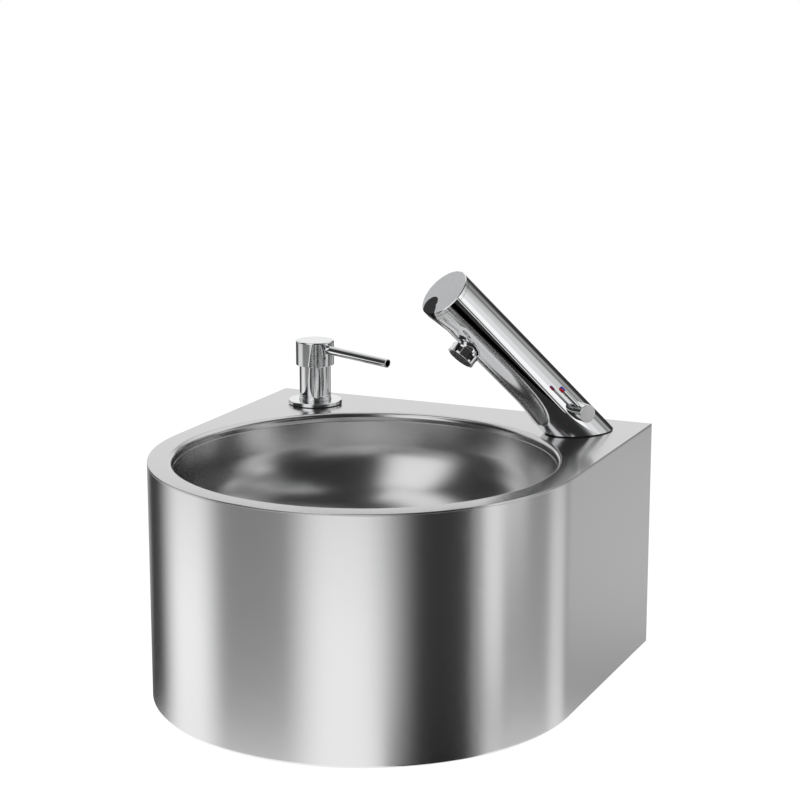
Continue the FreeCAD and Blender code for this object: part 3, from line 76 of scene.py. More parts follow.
LEVER_ALONG, LEVER_OFF = 31.0, 7.2      # lever's axis along the tap and behind its middle
HUB_LOW, HUB_END, HUB_R = 12.3, 39.0, 8.8
ROD_OUT = 33.0          # lever's rod to the middle of the tap
ROD_R, ROD_LOW = 1.9, 4.4
TIP_R, TIP_LOW, TIP_END = 2.4, 34.5, 39.0
STUD_R, STUD_BACK = 4.0, 9.5            # fixing stud, and its place behind the foot's centre
DRAIN_HOLE_R, STRAINER_HOLE_R = 21.5, 2.6
STRAINER_TOP = -118.0   # below the deck
PUMP_X, PUMP_Y = -144.0, -51.0
PUMP_HOLE_R = 12.5
FLANGE_R, SHANK_R, COLUMN_R, HEAD_R = 28.0, 12.0, 16.25, 19.8
SHANK_LOW, COLUMN_LOW, HEAD_LOW, HEAD_TOP = -45.0, 8.0, 41.0, 66.5      # above the deck
SPOUT_HEADING, SPOUT_FALL = math.radians(-18.0), math.radians(2.0)
SPOUT_R, SPOUT_BORE_R, SPOUT_Z, SPOUT_REACH = 4.5, 3.5, 59.0, 102.0


def place(x, y, z):
    """A plain shift."""
    return Matrix.Translation((x, y, z))


AT_BOWL = place(0, BOWL_Y, DECK)
AT_PUMP = place(PUMP_X, PUMP_Y, DECK)
AT_HEAD = AT_PUMP @ Matrix.Rotation(SPOUT_HEADING, 4, "Z")
AT_FOOT = place(TAP_X, TAP_Y, DECK) @ Matrix.Rotation(TAP_HEADING + math.pi / 2, 4, "Z")
AT_TAP = AT_FOOT @ Matrix.Rotation(math.pi / 2 - TAP_RISE, 4, "X")
AT_HUB = AT_TAP @ place(0, LEVER_OFF, LEVER_ALONG) @ Matrix.Rotation(math.pi / 2, 4, "Y")
AT_OUTLET = AT_TAP @ place(0, 0, OUTLET_ALONG) @ Matrix.Rotation(math.pi / 2, 4, "X")
AT_ROD = AT_TAP @ place(ROD_OUT, LEVER_OFF, LEVER_ALONG)


# ---------------------------------------------------------------- mesh helpers
class Shell:
    """Collects the points, faces and sheet coordinates of one piece, in millimetres."""

    def __init__(self):
        self.points, self.faces, self.sheet = [], [], []

    def add(self, point, u, v):
        """Keeps a point and gives its number."""
        self.points.append(point)
        self.sheet.append((u, v))
        return len(self.points) - 1

    def rows(self, rows, flip=False):
        """Joins rows of point numbers with four-sided faces."""
        for a, b in zip(rows, rows[1:]):
            for i in range(len(a) - 1):
                quad = [a[i], a[i + 1], b[i + 1], b[i]]
                self.faces.append(quad[::-1] if flip else quad)

    def cap(self, row, flip=False):
        """One flat face through a row of points."""
        self.faces.append(list(row)[::-1] if flip else list(row))


def finish_mesh(name, shell, where, material, body, nodes=(), crease=30.0):
    """Turns a shell into a piece that rides on a body and stands for its nodes."""
    mesh = bpy.data.meshes.new(name)
    spots = [tuple((where @ Vector(p)) * MM) for p in shell.points]
    mesh.from_pydata(spots, [], shell.faces)
    layer = mesh.uv_layers.new(name="sheet")
    vertex = np.empty(len(mesh.loops), dtype=np.int32)
    mesh.loops.foreach_get("vertex_index", vertex)
    coords = np.array(shell.sheet, dtype=np.float32)[vertex] * MM
    layer.data.foreach_set("uv", coords.ravel())
    work = bmesh.new()
    work.from_mesh(mesh)
    bmesh.ops.remove_doubles(work, verts=work.verts, dist=1e-6)
    bmesh.ops.dissolve_degenerate(work, edges=work.edges, dist=1e-7)
    bmesh.ops.recalc_face_normals(work, faces=work.faces)
    work.to_mesh(mesh)
    work.free()
    return finish_piece(name, mesh, material, body, nodes, crease)


def finish_piece(name, mesh, material, body, nodes=(), crease=30.0):
    """Gives a mesh its finish and its body, with even shading over its flats."""
    if not mesh.materials:
        mesh.materials.append(material)
    mesh.shade_smooth()
    mesh.set_sharp_from_angle(angle=math.radians(crease))
    piece = bpy.data.objects.new(name, mesh)
    bpy.context.scene.collection.objects.link(piece)
    even = piece.modifiers.new("even shading", "WEIGHTED_NORMAL")
    even.keep_sharp = True
    even.weight = 90
    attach(piece, body)
    if nodes:
        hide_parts(*nodes)
    return piece


def arc(cx, cz, radius, start, end, steps):
    """(r, z) points on an arc, angles in degrees."""
    turn = np.radians(np.linspace(start, end, steps + 1))
    return [(cx + radius * math.cos(t), cz + radius * math.sin(t)) for t in turn]


def turned(profile, turns, closed=True):
    """Shell turned about Z from (r, z) points; a closed profile makes a solid ring."""
    shell = Shell()
    loop = list(profile) + ([profile[0]] if closed else [])
    v = 0.0
    rows = []
    widest = max(r for r, _ in profile)
    for k, (r, z) in enumerate(loop):
        if k:
            v += math.dist(loop[k], loop[k - 1])
        row = []
        for i in range(turns + 1):
            t = 2 * math.pi * i / turns
            row.append(shell.add((r * math.cos(t), r * math.sin(t), z), t * widest, v))
        rows.append(row)
    shell.rows(rows)
    return shell


# ---------------------------------------------------------------- finishes
class Finish:
    """A material under construction: keeps the node tree and its shader at hand."""

    def __init__(self, name):
        self.material = bpy.data.materials.new(name)
        self.material.use_nodes = True
        self.tree = self.material.node_tree
        self.nodes, self.links = self.tree.nodes, self.tree.links
        self.shader = self.nodes["Principled BSDF"]

    def node(self, kind, **values):
        """A node with its inputs or settings given by name."""
        made = self.nodes.new(kind)
        for key, value in values.items():
            if key in made.inputs:
                made.inputs[key].default_value = value
            else:
                setattr(made, key, value)
        return made

    def join(self, source, target):
        self.links.new(source, target)

    def plain(self, **values):
        """Values that are the same all over, set on the shader itself."""
        for key, value in values.items():
            self.shader.inputs[key.replace("_", " ")].default_value = value

    def coords(self, sheet, scale):
        """Stretched coordinates, from the piece's own sheet layer or from its place."""
        source = self.node("ShaderNodeTexCoord")
        mapping = self.node("ShaderNodeMapping")
        mapping.inputs["Scale"].default_value = scale
        self.join(source.outputs["UV" if sheet else "Object"], mapping.inputs["Vector"])
        return mapping.outputs["Vector"]

    def local(self, where):
        """Object coordinates in a piece's own frame, in metres."""
        back = where.inverted()
        mapping = self.node("ShaderNodeMapping")
        mapping.inputs["Rotation"].default_value = back.to_euler("XYZ")
        mapping.inputs["Location"].default_value = back.translation * MM
        self.join(self.node("ShaderNodeTexCoord").outputs["Object"], mapping.inputs["Vector"])
        return mapping.outputs["Vector"]

    def radius(self, vector):
        """Distance from the frame's own axis."""
        flat = self.node("ShaderNodeVectorMath", operation="MULTIPLY")
        flat.inputs[1].default_value = (1, 1, 0)
        self.join(vector, flat.inputs[0])
        length = self.node("ShaderNodeVectorMath", operation="LENGTH")
        self.join(flat.outputs["Vector"], length.inputs[0])
        return length.outputs["Value"]

    def noise(self, vector, scale, detail, rough):
        made = self.node("ShaderNodeTexNoise", Scale=scale, Detail=detail, Roughness=rough)
        self.join(vector, made.inputs["Vector"])
        return made.outputs["Fac"]

    def span(self, value, low, high, start=0.0, end=1.0, soft=False):
        """Carries a value from start to end over to low to high."""
        made = self.node("ShaderNodeMapRange", interpolation_type="SMOOTHSTEP" if soft else "LINEAR")
        for key, number in zip(("From Min", "From Max", "To Min", "To Max"), (start, end, low, high)):
            made.inputs[key].default_value = number
        self.join(value, made.inputs["Value"])
        return made.outputs["Result"]

    def blend(self, factor, low, high):
        """Colour between two, by a factor."""
        made = self.node("ShaderNodeMix", data_type="RGBA")
        made.inputs["A"].default_value = (*low, 1)
        made.inputs["B"].default_value = (*high, 1)
        self.join(factor, made.inputs["Factor"])
        return made.outputs["Result"]

    def relief(self, height, strength, distance):
        """Fine relief of the surface, from a height."""
        bump = self.node("ShaderNodeBump")
        bump.inputs["Strength"].default_value = strength
        bump.inputs["Distance"].default_value = distance
        self.join(height, bump.inputs["Height"])
        self.join(bump.outputs["Normal"], self.shader.inputs["Normal"])

    def colour(self, value):
        self.join(value, self.shader.inputs["Base Color"])

    def gloss(self, value):
        self.join(value, self.shader.inputs["Roughness"])


def satin_steel(name, sheet, scale, low=0.24, high=0.36, tone=0.74, grain=0.03):
    """Brushed stainless steel: long fine lines along the sheet, and soft cloudy patches."""
    made = Finish(name)
    made.plain(Metallic=1.0)
    lines = made.noise(made.coords(sheet, scale), 1.0, 4.0, 0.7)
    clouds = made.noise(made.coords(sheet, (9, 9, 9)), 1.0, 2.0, 0.5)
    shade = made.node("ShaderNodeMath", operation="MULTIPLY")
    made.join(lines, shade.inputs[0])
    made.join(made.span(clouds, 0.92, 1.08, 0.3, 0.7), shade.inputs[1])
    made.colour(made.blend(made.span(shade.outputs["Value"], 0, 1, 0.3, 0.7),
                           (tone - grain, tone - grain, tone - grain + 0.004), (tone + grain,) * 3))
    made.gloss(made.span(lines, low, high, 0.3, 0.7))
    made.relief(lines, min(grain * 0.8, 0.03), 0.0002)
    return made.material


def polished(name, tone=(0.9, 0.905, 0.915), low=0.0, high=0.02):
    """Polished chrome with faint clouds in its tone and gloss."""
    made = Finish(name)
    made.plain(Metallic=1.0)
    haze = made.noise(made.coords(False, (60, 60, 60)), 1.0, 3.0, 0.5)
    made.colour(made.blend(haze, tuple(c - 0.015 for c in tone), tuple(min(c + 0.01, 1) for c in tone)))
    made.gloss(made.span(haze, low, high, 0.3, 0.7))
    return made.material


def end_face():
    """Satin end face of the tap inside a polished rim."""
    made = Finish("end face")
    made.plain(Metallic=1.0)
    spot = made.local(AT_TAP)
    inside = made.span(made.radius(spot), 1.0, 0.0, (TAP_R - 0.8) * MM, (TAP_R - 0.6) * MM, soft=True)
    blast = made.noise(made.coords(False, (1400, 1400, 1400)), 1.0, 3.0, 0.6)
    clouds = made.noise(made.coords(False, (50, 50, 50)), 1.0, 2.0, 0.5)
    rough = made.node("ShaderNodeMath", operation="MULTIPLY_ADD")
    made.join(inside, rough.inputs[0])
    made.join(made.span(blast, 0.30, 0.42, 0.3, 0.7), rough.inputs[1])
    rough.inputs[2].default_value = 0.045
    made.gloss(rough.outputs["Value"])
    tint = made.node("ShaderNodeMix", data_type="RGBA")
    tint.inputs["A"].default_value = (0.9, 0.905, 0.915, 1)
    made.join(made.blend(clouds, (0.70, 0.71, 0.725), (0.76, 0.765, 0.775)), tint.inputs["B"])
    made.join(inside, tint.inputs["Factor"])
    made.colour(tint.outputs["Result"])
    depth = made.node("ShaderNodeMath", operation="MULTIPLY")
    made.join(blast, depth.inputs[0])
    made.join(inside, depth.inputs[1])
    made.relief(depth.outputs["Value"], 0.08, 0.0001)
    return made.material


def moulded(name, tone, dark, low=0.35, high=0.5, grain=900.0, relief=0.15, **values):
    """Moulded plastic or rubber with a fine eroded surface."""
    made = Finish(name)
    made.plain(**values)
    clouds = made.noise(made.coords(False, (35, 35, 35)), 1.0, 2.0, 0.5)
    pores = made.noise(made.coords(False, (grain, grain, grain)), 1.0, 2.0, 0.6)
    made.colour(made.blend(clouds, dark, tone))
    made.gloss(made.span(pores, low, high, 0.3, 0.7))
    made.relief(pores, relief, 0.00012)
    return made.material


def copper_finish():
    """Drawn copper tube, slightly dulled."""
    made = Finish("copper")
    made.plain(Metallic=1.0)
    draw = made.noise(made.coords(False, (1500, 1500, 12)), 1.0, 3.0, 0.6)
    dull = made.noise(made.coords(False, (45, 45, 45)), 1.0, 3.0, 0.6)
    made.colour(made.blend(made.span(dull, 0, 1, 0.35, 0.7), (0.93, 0.52, 0.36), (0.70, 0.36, 0.24)))
    made.gloss(made.span(draw, 0.2, 0.38, 0.3, 0.7))
    made.relief(draw, 0.06, 0.0002)
    return made.material


FINISHES = {}


def make_finishes():
    """All finishes of the basin, tap and pump, by name."""
    brushed = (25, 2600, 1)
    for made in (
            satin_steel("apron steel", True, brushed, 0.19, 0.23, grain=0.010),
            satin_steel("bowl steel", True, brushed, 0.19, 0.24, grain=0.012),
            satin_steel("deck steel", True, brushed, 0.16, 0.20, 0.70, grain=0.008),
            satin_steel("sheet steel", False, (30, 30, 2200), 0.30, 0.42, 0.66),
            satin_steel("strainer steel", False, (900, 900, 60), 0.12, 0.22, 0.78),
            satin_steel("bright steel", False, (300, 300, 900), 0.25, 0.4, 0.62),
            satin_steel("satin chrome", False, (700, 700, 700), 0.34, 0.46, 0.72),
            polished("chrome"),
            end_face(),
            copper_finish(),
            moulded("window", (0.005, 0.005, 0.006), (0.002, 0.002, 0.003), 0.08, 0.14, 300.0, 0.02,
                    Specular_IOR_Level=0.12),
            moulded("black plastic", (0.022, 0.022, 0.024), (0.012, 0.012, 0.013)),
            moulded("rubber", (0.03, 0.03, 0.03), (0.018, 0.018, 0.018), 0.6, 0.78, 700.0, 0.25),
            moulded("white plastic", (0.80, 0.80, 0.78), (0.74, 0.74, 0.72), 0.32, 0.42,
                    Subsurface_Weight=0.1, Subsurface_Radius=(0.002, 0.002, 0.002)),
            moulded("natural plastic", (0.78, 0.77, 0.72), (0.70, 0.69, 0.64)),
            moulded("bottle", (0.86, 0.87, 0.86), (0.80, 0.81, 0.80), 0.28, 0.4, 500.0, 0.12,
                    Transmission_Weight=0.35, IOR=1.45),
            moulded("battery case", (0.10, 0.14, 0.30), (0.07, 0.10, 0.24), 0.35, 0.45),
            moulded("board", (0.02, 0.18, 0.06), (0.015, 0.13, 0.04), 0.25, 0.4),
            moulded("red", (0.72, 0.02, 0.02), (0.6, 0.015, 0.015), 0.2, 0.32),
            moulded("blue", (0.02, 0.07, 0.5), (0.015, 0.05, 0.4), 0.2, 0.32)):
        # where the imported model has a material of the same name, Blender adds a number
        FINISHES[made.name.split(".")[0]] = made


def chrome_turned(name, profile, turns, where, body, nodes=()):
    """Turned piece of polished chrome."""
    shell = turned(profile, turns)
    return finish_mesh(name, shell, where, FINISHES["chrome"], body, nodes)


# ---------------------------------------------------------------- basin shell
def outline(inset):
    """Points of the basin's outline seen from above, from the back left round the front."""
    arc_steps, side_steps = 180, 12
    r = FRONT_R - inset
    points = [(-r, ARC_Y * i / side_steps) for i in range(side_steps)]
    for i in range(arc_steps + 1):
        t = math.pi + math.pi * i / arc_steps
        points.append((r * math.cos(t), ARC_Y + r * math.sin(t)))
    points += [(r, ARC_Y * (1 - i / side_steps)) for i in range(1, side_steps + 1)]
    return points


def along_outline(profile):
    """Sheet bent round the front and both sides; the profile is (inset, height) points, closed."""
    shell = Shell()
    v = 0.0
    rows = []
    loop = list(profile) + [profile[0]]
    reference = outline(0)
    run = [0.0]
    for a, b in zip(reference, reference[1:]):
        run.append(run[-1] + math.dist(a, b))
    for k, (inset, z) in enumerate(loop):
        if k:
            v += math.dist(loop[k], loop[k - 1])
        rows.append([shell.add((x, y, z), u, v) for (x, y), u in zip(outline(inset), run)])
    shell.rows(rows)
    shell.cap([row[0] for row in rows[:-1]])
    shell.cap([row[-1] for row in rows[:-1]], flip=True)
    return shell


def apron():
    """Skirt with its rounded lower bend and the flange turned in behind it."""
    top = DECK - SHEET - 0.15
    bend = 3.0
    outer = arc(bend, BASE + bend, bend, 180, 270, 8)
    inner = arc(bend, BASE + bend, bend - SHEET, 270, 180, 8)
    profile = [(0.35, top), (0.0, top - 0.35)] + outer + [(RETURN, BASE), (RETURN, BASE + SHEET)]
    profile += inner + [(SHEET, top)]
    finish_mesh("apron", along_outline(profile), Matrix(), FINISHES["apron steel"], "basin",
                ["apron"])


def deck():
    """Top sheet: slightly broken outer edge, rolled lip round the bowl, holes for tap and pump."""
    shell = Shell()
    edge_round, turns, hole_turns = 0.5, 192, 48
    holes = ((TAP_X, TAP_Y, TAP_HOLE_R), (PUMP_X, PUMP_Y, PUMP_HOLE_R))
    edge = [(0.0, DECK - SHEET), (0.0, DECK - edge_round), (0.15, DECK - 0.15), (edge_round, DECK)]
    rows = []
    for inset, z in edge:
        rows.append([shell.add((x, y, z), x, y) for x, y in outline(inset)])
    shell.rows(rows)
    lip = arc(BOWL_R + LIP_R, DECK - LIP_R, LIP_R, 90, 180, 12)
    lip += [(BOWL_R, DECK - LIP_DROP + 0.25), (BOWL_R + 0.3, DECK - LIP_DROP)]
    under = arc(BOWL_R + LIP_R, DECK - LIP_R, LIP_R - SHEET, 180, 90, 8)
    lip += [(BOWL_R + SHEET, DECK - LIP_DROP)] + under
    ring_rows = []
    for r, z in lip:
        row = []
        for i in range(turns + 1):
            t = 2 * math.pi * i / turns
            x, y = r * math.cos(t), BOWL_Y + r * math.sin(t)
            row.append(shell.add((x, y, z), x, y))
        ring_rows.append(row)
    shell.rows(ring_rows)
    piece_mesh = bpy.data.meshes.new("deck")
    work = bmesh.new()
    verts = [work.verts.new(Vector(p) * MM) for p in shell.points]
    for face in shell.faces:
        work.faces.new([verts[i] for i in face])
    bmesh.ops.remove_doubles(work, verts=work.verts, dist=1e-6)

    def loop_edges(points, z):
        made = [work.verts.new((x * MM, y * MM, z * MM)) for x, y in points]
        return [work.edges.new((a, b)) for a, b in zip(made, made[1:] + made[:1])]

    def circle(cx, cy, r, count):
        return [(cx + r * math.cos(2 * math.pi * i / count), cy + r * math.sin(2 * math.pi * i / count))
                for i in range(count)]

    for z, outer_inset in ((DECK, edge_round), (DECK - SHEET, 0.0)):
        rim = loop_edges(outline(outer_inset), z)
        rim += loop_edges(circle(0, BOWL_Y, BOWL_R + LIP_R, turns), z)
        for cx, cy, r in holes:
            rim += loop_edges(circle(cx, cy, r, hole_turns), z)
        bmesh.ops.triangle_fill(work, use_beauty=True, edges=rim)
    for cx, cy, r in holes:
        round_points = circle(cx, cy, r, hole_turns)
        low = [work.verts.new((x * MM, y * MM, (DECK - SHEET) * MM)) for x, y in round_points]
        high = [work.verts.new((x * MM, y * MM, DECK * MM)) for x, y in round_points]
        for i in range(hole_turns):
            j = (i + 1) % hole_turns
            work.faces.new((low[i], low[j], high[j], high[i]))
    bmesh.ops.remove_doubles(work, verts=work.verts, dist=2e-6)
    back = [e for e in work.edges if e.is_boundary]
    bmesh.ops.holes_fill(work, edges=back, sides=0)
    bmesh.ops.recalc_face_normals(work, faces=work.faces)
    layer = work.loops.layers.uv.new("sheet")
    for face in work.faces:
        for loop in face.loops:
            x, y, z = loop.vert.co
            away = math.hypot(x, y - BOWL_Y * MM)
            if away < (BOWL_R + LIP_R) * MM + 1e-6 and z < (DECK - 0.01) * MM:
                loop[layer].uv = (math.atan2(y - BOWL_Y * MM, x) * BOWL_R * MM, z + away)
            else:
                loop[layer].uv = (x, y)
    work.to_mesh(piece_mesh)
    work.free()
    finish_piece("deck", piece_mesh, FINISHES["deck steel"], "basin", ["deck_plate"])


def rounded(points, radii, steps):
    """(r, z) path with rounded inner corners."""
    path = [points[0]]
    for before, corner, after, radius in zip(points, points[1:], points[2:], radii):
        a, c, b = (np.array(p, dtype=float) for p in (before, corner, after))
        back, ahead = (a - c) / np.linalg.norm(a - c), (b - c) / np.linalg.norm(b - c)
        half = math.acos(max(-1.0, min(1.0, float(back @ ahead)))) / 2
        reach = radius / math.tan(half)
        middle = c + (back + ahead) / np.linalg.norm(back + ahead) * radius / math.sin(half)
        start, end = c + back * reach - middle, c + ahead * reach - middle
        turn = math.atan2(start[0] * end[1] - start[1] * end[0], float(start @ end))
        for i in range(steps + 1):
            t = turn * i / steps
            spin = np.array([[math.cos(t), -math.sin(t)], [math.sin(t), math.cos(t)]])
            path.append(tuple(middle + spin @ start))
    path.append(points[-1])
    return path


def bowl():
    """Pressed bowl with the large corner radius, the sunk drain seat and its sheet thickness."""
    taper, wall_drop, floor_drop, seat_drop = 5.0, 98.0, 117.5, 121.5
    seat_r, corner_r, seat_round, weld = 37.0, 80.0, 3.0, 0.3
    line = [(BOWL_R, -LIP_DROP), (BOWL_R - taper, -wall_drop), (seat_r + 2.0, -floor_drop),
            (seat_r, -seat_drop), (DRAIN_HOLE_R, -seat_drop)]
    inner = rounded(line, [corner_r, seat_round, seat_round], 28)
    inner[0] = (BOWL_R + weld, -LIP_DROP)
    inner.insert(1, (BOWL_R, -LIP_DROP - weld))
    points = np.array(inner)
    outer = []
    for i, (r, z) in enumerate(inner):
        a, b = points[max(i - 1, 0)], points[min(i + 1, len(points) - 1)]
        run = (b - a) / np.linalg.norm(b - a)
        outer.append((r - run[1] * SHEET, z + run[0] * SHEET))
    outer[0] = (BOWL_R + SHEET, -LIP_DROP)
    shell = turned(inner + outer[::-1], 192)
    finish_mesh("bowl", shell, AT_BOWL, FINISHES["bowl steel"], "basin", ["bowl"])


# ---------------------------------------------------------------- tap
def crown_depth(x, z):
    """Distance from the tap's axis down to the crowned cut of the underside, at x across and z along."""
    edge = math.sqrt(TAP_R ** 2 - FACET_D ** 2)
    bulge = CROWN_D - FACET_D
    radius = (edge ** 2 + bulge ** 2) / (2 * bulge)
    fall = radius - math.sqrt(radius ** 2 - x ** 2)
    if z < FACET_LOW:
        reach = (RUNOUT_R + fall) ** 2 - (FACET_LOW - z) ** 2
        return CROWN_D + RUNOUT_R - math.sqrt(max(reach, 0.0))
    return CROWN_D - fall + max(z - CROWN_HIGH, 0.0) * (TAP_R - CROWN_D) / (CROWN_OUT - CROWN_HIGH)


def crown_half(z):
    """Half width of the crowned cut at a place along the tap."""
    low, high = 0.0, TAP_R
    if crown_depth(0.0, z) >= TAP_R:
        return 0.0
    for _ in range(40):
        middle = (low + high) / 2
        if math.sqrt(TAP_R ** 2 - middle ** 2) > crown_depth(middle, z):
            low = middle
        else:
            high = middle
    return low


def tap_body():
    """Leaning body: round at the foot and at the top, with a crowned cut along the underside between."""
    shell = Shell()
    around, across, edge_r, edge_angle = 120, 40, 0.5, 8.0
    first = FACET_LOW - math.sqrt(RUNOUT_R ** 2 - (CROWN_D + RUNOUT_R - TAP_R) ** 2)
    cut = [first + (FACET_LOW - first) * (1 - math.cos(i / 26 * math.pi / 2)) for i in range(27)]
    cut += list(np.linspace(FACET_LOW, CROWN_HIGH, 26))[1:]
    cut += [CROWN_HIGH + (CROWN_OUT - CROWN_HIGH) * math.sin(i / 20 * math.pi / 2) for i in range(1, 21)]
    rise_c, rise_s = math.cos(TAP_RISE), math.sin(TAP_RISE)

    def round_row(z_of, half):
        row = []
        for i in range(around + 1):
            t = -half + (math.pi + 2 * half) * i / around
            x, y = TAP_R * math.cos(t), TAP_R * math.sin(t)
            row.append(shell.add((x, y, z_of(y)), t * TAP_R, z_of(y)))
        return row

    def closed_row(z_of):
        row = round_row(z_of, math.pi / 2)
        row[-1] = row[0]
        return row

    rows = []
    for k in range(14):
        share = k / 14
        rows.append(closed_row(lambda y: (1 - share) * (1 - y * rise_c) / rise_s + share * first))
    rows.append(closed_row(lambda y: first))
    foot = rows[0]
    under = [[rows[-1][0]] * (across + 1)]
    for z in cut[1:-1]:
        half = crown_half(z)
        row = round_row(lambda y: z, math.acos(half / TAP_R))
        rows.append(row)
        line = [row[-1]]
        for i in range(1, across):
            x = half * -math.cos(math.pi * i / across)
            line.append(shell.add((x, -crown_depth(x, z), z), x, z))
        under.append(line + [row[0]])
    for z in (CROWN_OUT, TAP_BACK - 0.3):
        rows.append(closed_row(lambda y: z))
    under.append([rows[-2][0]] * (across + 1))
    shell.rows(rows)
    for a, b in zip(under, under[1:]):
        for i in range(across):
            face = list(dict.fromkeys((a[i], a[i + 1], b[i + 1], b[i])))
            shell.faces.append(face)
    shell.cap(rows[-1][:-1])
    shell.cap(foot[:-1], flip=True)
    piece = finish_mesh("tap_body", shell, AT_TAP, FINISHES["chrome"], "basin",
                        ["tap_body"], crease=edge_angle)
    round_edges(piece, edge_r, edge_angle)


def round_edges(piece, width, angle):
    """Small radius along the sharp edges, worked out before the even shading."""
    bevel = piece.modifiers.new("edge radius", "BEVEL")
    bevel.width = width * MM
    bevel.segments = 3
    bevel.limit_method = "ANGLE"
    bevel.angle_limit = math.radians(angle)
    bevel.harden_normals = False
    piece.modifiers.move(len(piece.modifiers) - 1, 0)


def tap_neck():
    """Short neck that comes out of the crowned cut and carries the aerator."""
    bore_r, neck_r, start, end = 9.0, 10.5, 13.0, 25.0
    profile = [(bore_r, start), (neck_r, start), (neck_r, end), (bore_r, end)]
    chrome_turned("tap_neck", profile, 72, AT_OUTLET, "basin")


def sensor_window():
    """Dark comma-shaped window: a round head on the end face, bent over the rim into a long tail."""
    proud, thick = 0.06, 0.4
    head_r, head_off, head_turn = 8.6, 16.4, math.radians(-23.0)
    flare_r, flare = (11.0, 17.7, 26.0), np.radians((0.0, 16.7, 23.5))
    back_r, back = (23.6, 26.0), np.radians((-35.0, -25.0))
    tip_x, tip_round = -5.0, 2.4
    face_r, rim = 25.3, 0.7         # the window bends over the rim between these
    count, face_rows, tail_rows = 32, 40, 36

    def face_turns(r):
        """Turns about the tap's axis, from its underside, of the window's two edges on the end face."""
        share = (r * r + head_off ** 2 - head_r ** 2) / (2 * r * head_off)
        half = math.acos(max(-1.0, min(1.0, share)))
        left, right = head_turn - half, head_turn + half
        if r > flare_r[0]:
            right = max(right, float(np.interp(r, flare_r, flare)))
        if r > back_r[0]:
            left = float(np.interp(r, back_r, back))
        return left, right

    def tail_sides(z):
        """Left and right edge of the tail across the tap, at a place along it."""
        share = (z - WINDOW_TIP) / (TAP_END - WINDOW_TIP)
        left, right = TAP_R * math.sin(back[-1]), TAP_R * math.sin(flare[-1])
        middle = tip_x + ((left + right) / 2 - tip_x) * share ** 0.8
        half = tip_round + ((right - left) / 2 - tip_round) * share
        nose = WINDOW_TIP + tip_round
        if z < nose:
            half *= math.sqrt(max(1 - ((nose - z) / tip_round) ** 2, 0.0))
        return middle - half, middle + half

    shell = Shell()
    sheets = []
    first = head_off - head_r
    for depth in (proud, proud - thick):
        rows = []
        for k in range(face_rows + 1):
            r = first + (face_r - first) * (1 - math.cos(k / face_rows * math.pi)) / 2
            left, right = face_turns(r)
            row = []
            for i in range(count + 1):
                t = left + (right - left) * i / count
                row.append(shell.add((r * math.sin(t), -r * math.cos(t), TAP_END + depth), r * t, r))
            rows.append(row)
        bend = [(TAP_END - 0.25, -0.25)]
        for k in range(tail_rows + 1):
            share = math.sin(k / tail_rows * math.pi / 2)
            bend.append((TAP_END - rim - (TAP_END - rim - WINDOW_TIP) * share, 0.0))
        for z, inset in bend:
            left, right = tail_sides(z)
            row = []
            for i in range(count + 1):
                x = left + (right - left) * i / count
                down = min(math.sqrt(TAP_R ** 2 - x ** 2), crown_depth(x, z)) + inset
                row.append(shell.add((x, -down - depth, z), x, z))
            rows.append(row)
        sheets.append(rows)
    shell.rows(sheets[0])
    shell.rows(sheets[1], flip=True)
    for side in (0, -1):
        shell.rows([[row[side] for row in sheets[0]], [row[side] for row in sheets[1]]], flip=side == 0)
    finish_mesh("sensor_window", shell, AT_TAP, FINISHES["window"], "basin",
                ["sensor_window"], crease=35.0)


# ---------------------------------------------------------------- patterns and threads
class Tree:
    """A geometry node tree under construction, with named inputs for its sizes."""

    def __init__(self, name, inputs):
        self.group = bpy.data.node_groups.new(name, "GeometryNodeTree")
        face = self.group.interface
        face.new_socket("Geometry", in_out="INPUT", socket_type="NodeSocketGeometry")
        self.keys = {}
        for label, value in inputs.items():
            kind = "NodeSocketInt" if isinstance(value, int) else "NodeSocketFloat"
            self.keys[label] = face.new_socket(label, in_out="INPUT", socket_type=kind).identifier
        face.new_socket("Geometry", in_out="OUTPUT", socket_type="NodeSocketGeometry")
        self.values = inputs
        self.given = self.group.nodes.new("NodeGroupInput").outputs

    def node(self, kind, links=()):
        """A node whose inputs are joined to sockets or given plain values."""
        made = self.group.nodes.new(kind)
        for key, value in dict(links).items():
            if isinstance(value, bpy.types.NodeSocket):
                self.group.links.new(value, made.inputs[key])
            else:
                made.inputs[key].default_value = value
        return made

    def finish(self, name, geometry, material, where, body, slot, crease=30.0, nodes=()):
        """Realizes the pattern, sets its finish and turns it into a plain piece on a body."""
        whole = self.node("GeometryNodeRealizeInstances", {"Geometry": geometry})
        dressed = self.node("GeometryNodeSetMaterial", {"Geometry": whole.outputs[0], "Material": material})
        out = self.group.nodes.new("NodeGroupOutput")
        self.group.links.new(dressed.outputs[0], out.inputs[0])
        holder = bpy.data.objects.new(name + "_pattern", bpy.data.meshes.new(name + "_pattern"))
        bpy.context.scene.collection.objects.link(holder)
        step = holder.modifiers.new("pattern", "NODES")
        step.node_group = self.group
        for label, key in self.keys.items():
            step[key] = self.values[label]
        seen = holder.evaluated_get(bpy.context.evaluated_depsgraph_get())
        mesh = bpy.data.meshes.new_from_object(seen)
        holder.modifiers.remove(step)
        bpy.data.objects.remove(holder)
        mesh.name = name
        mesh.transform(Matrix.Scale(MM, 4) @ where)
        return finish_piece(name, mesh, material, body, nodes, crease)


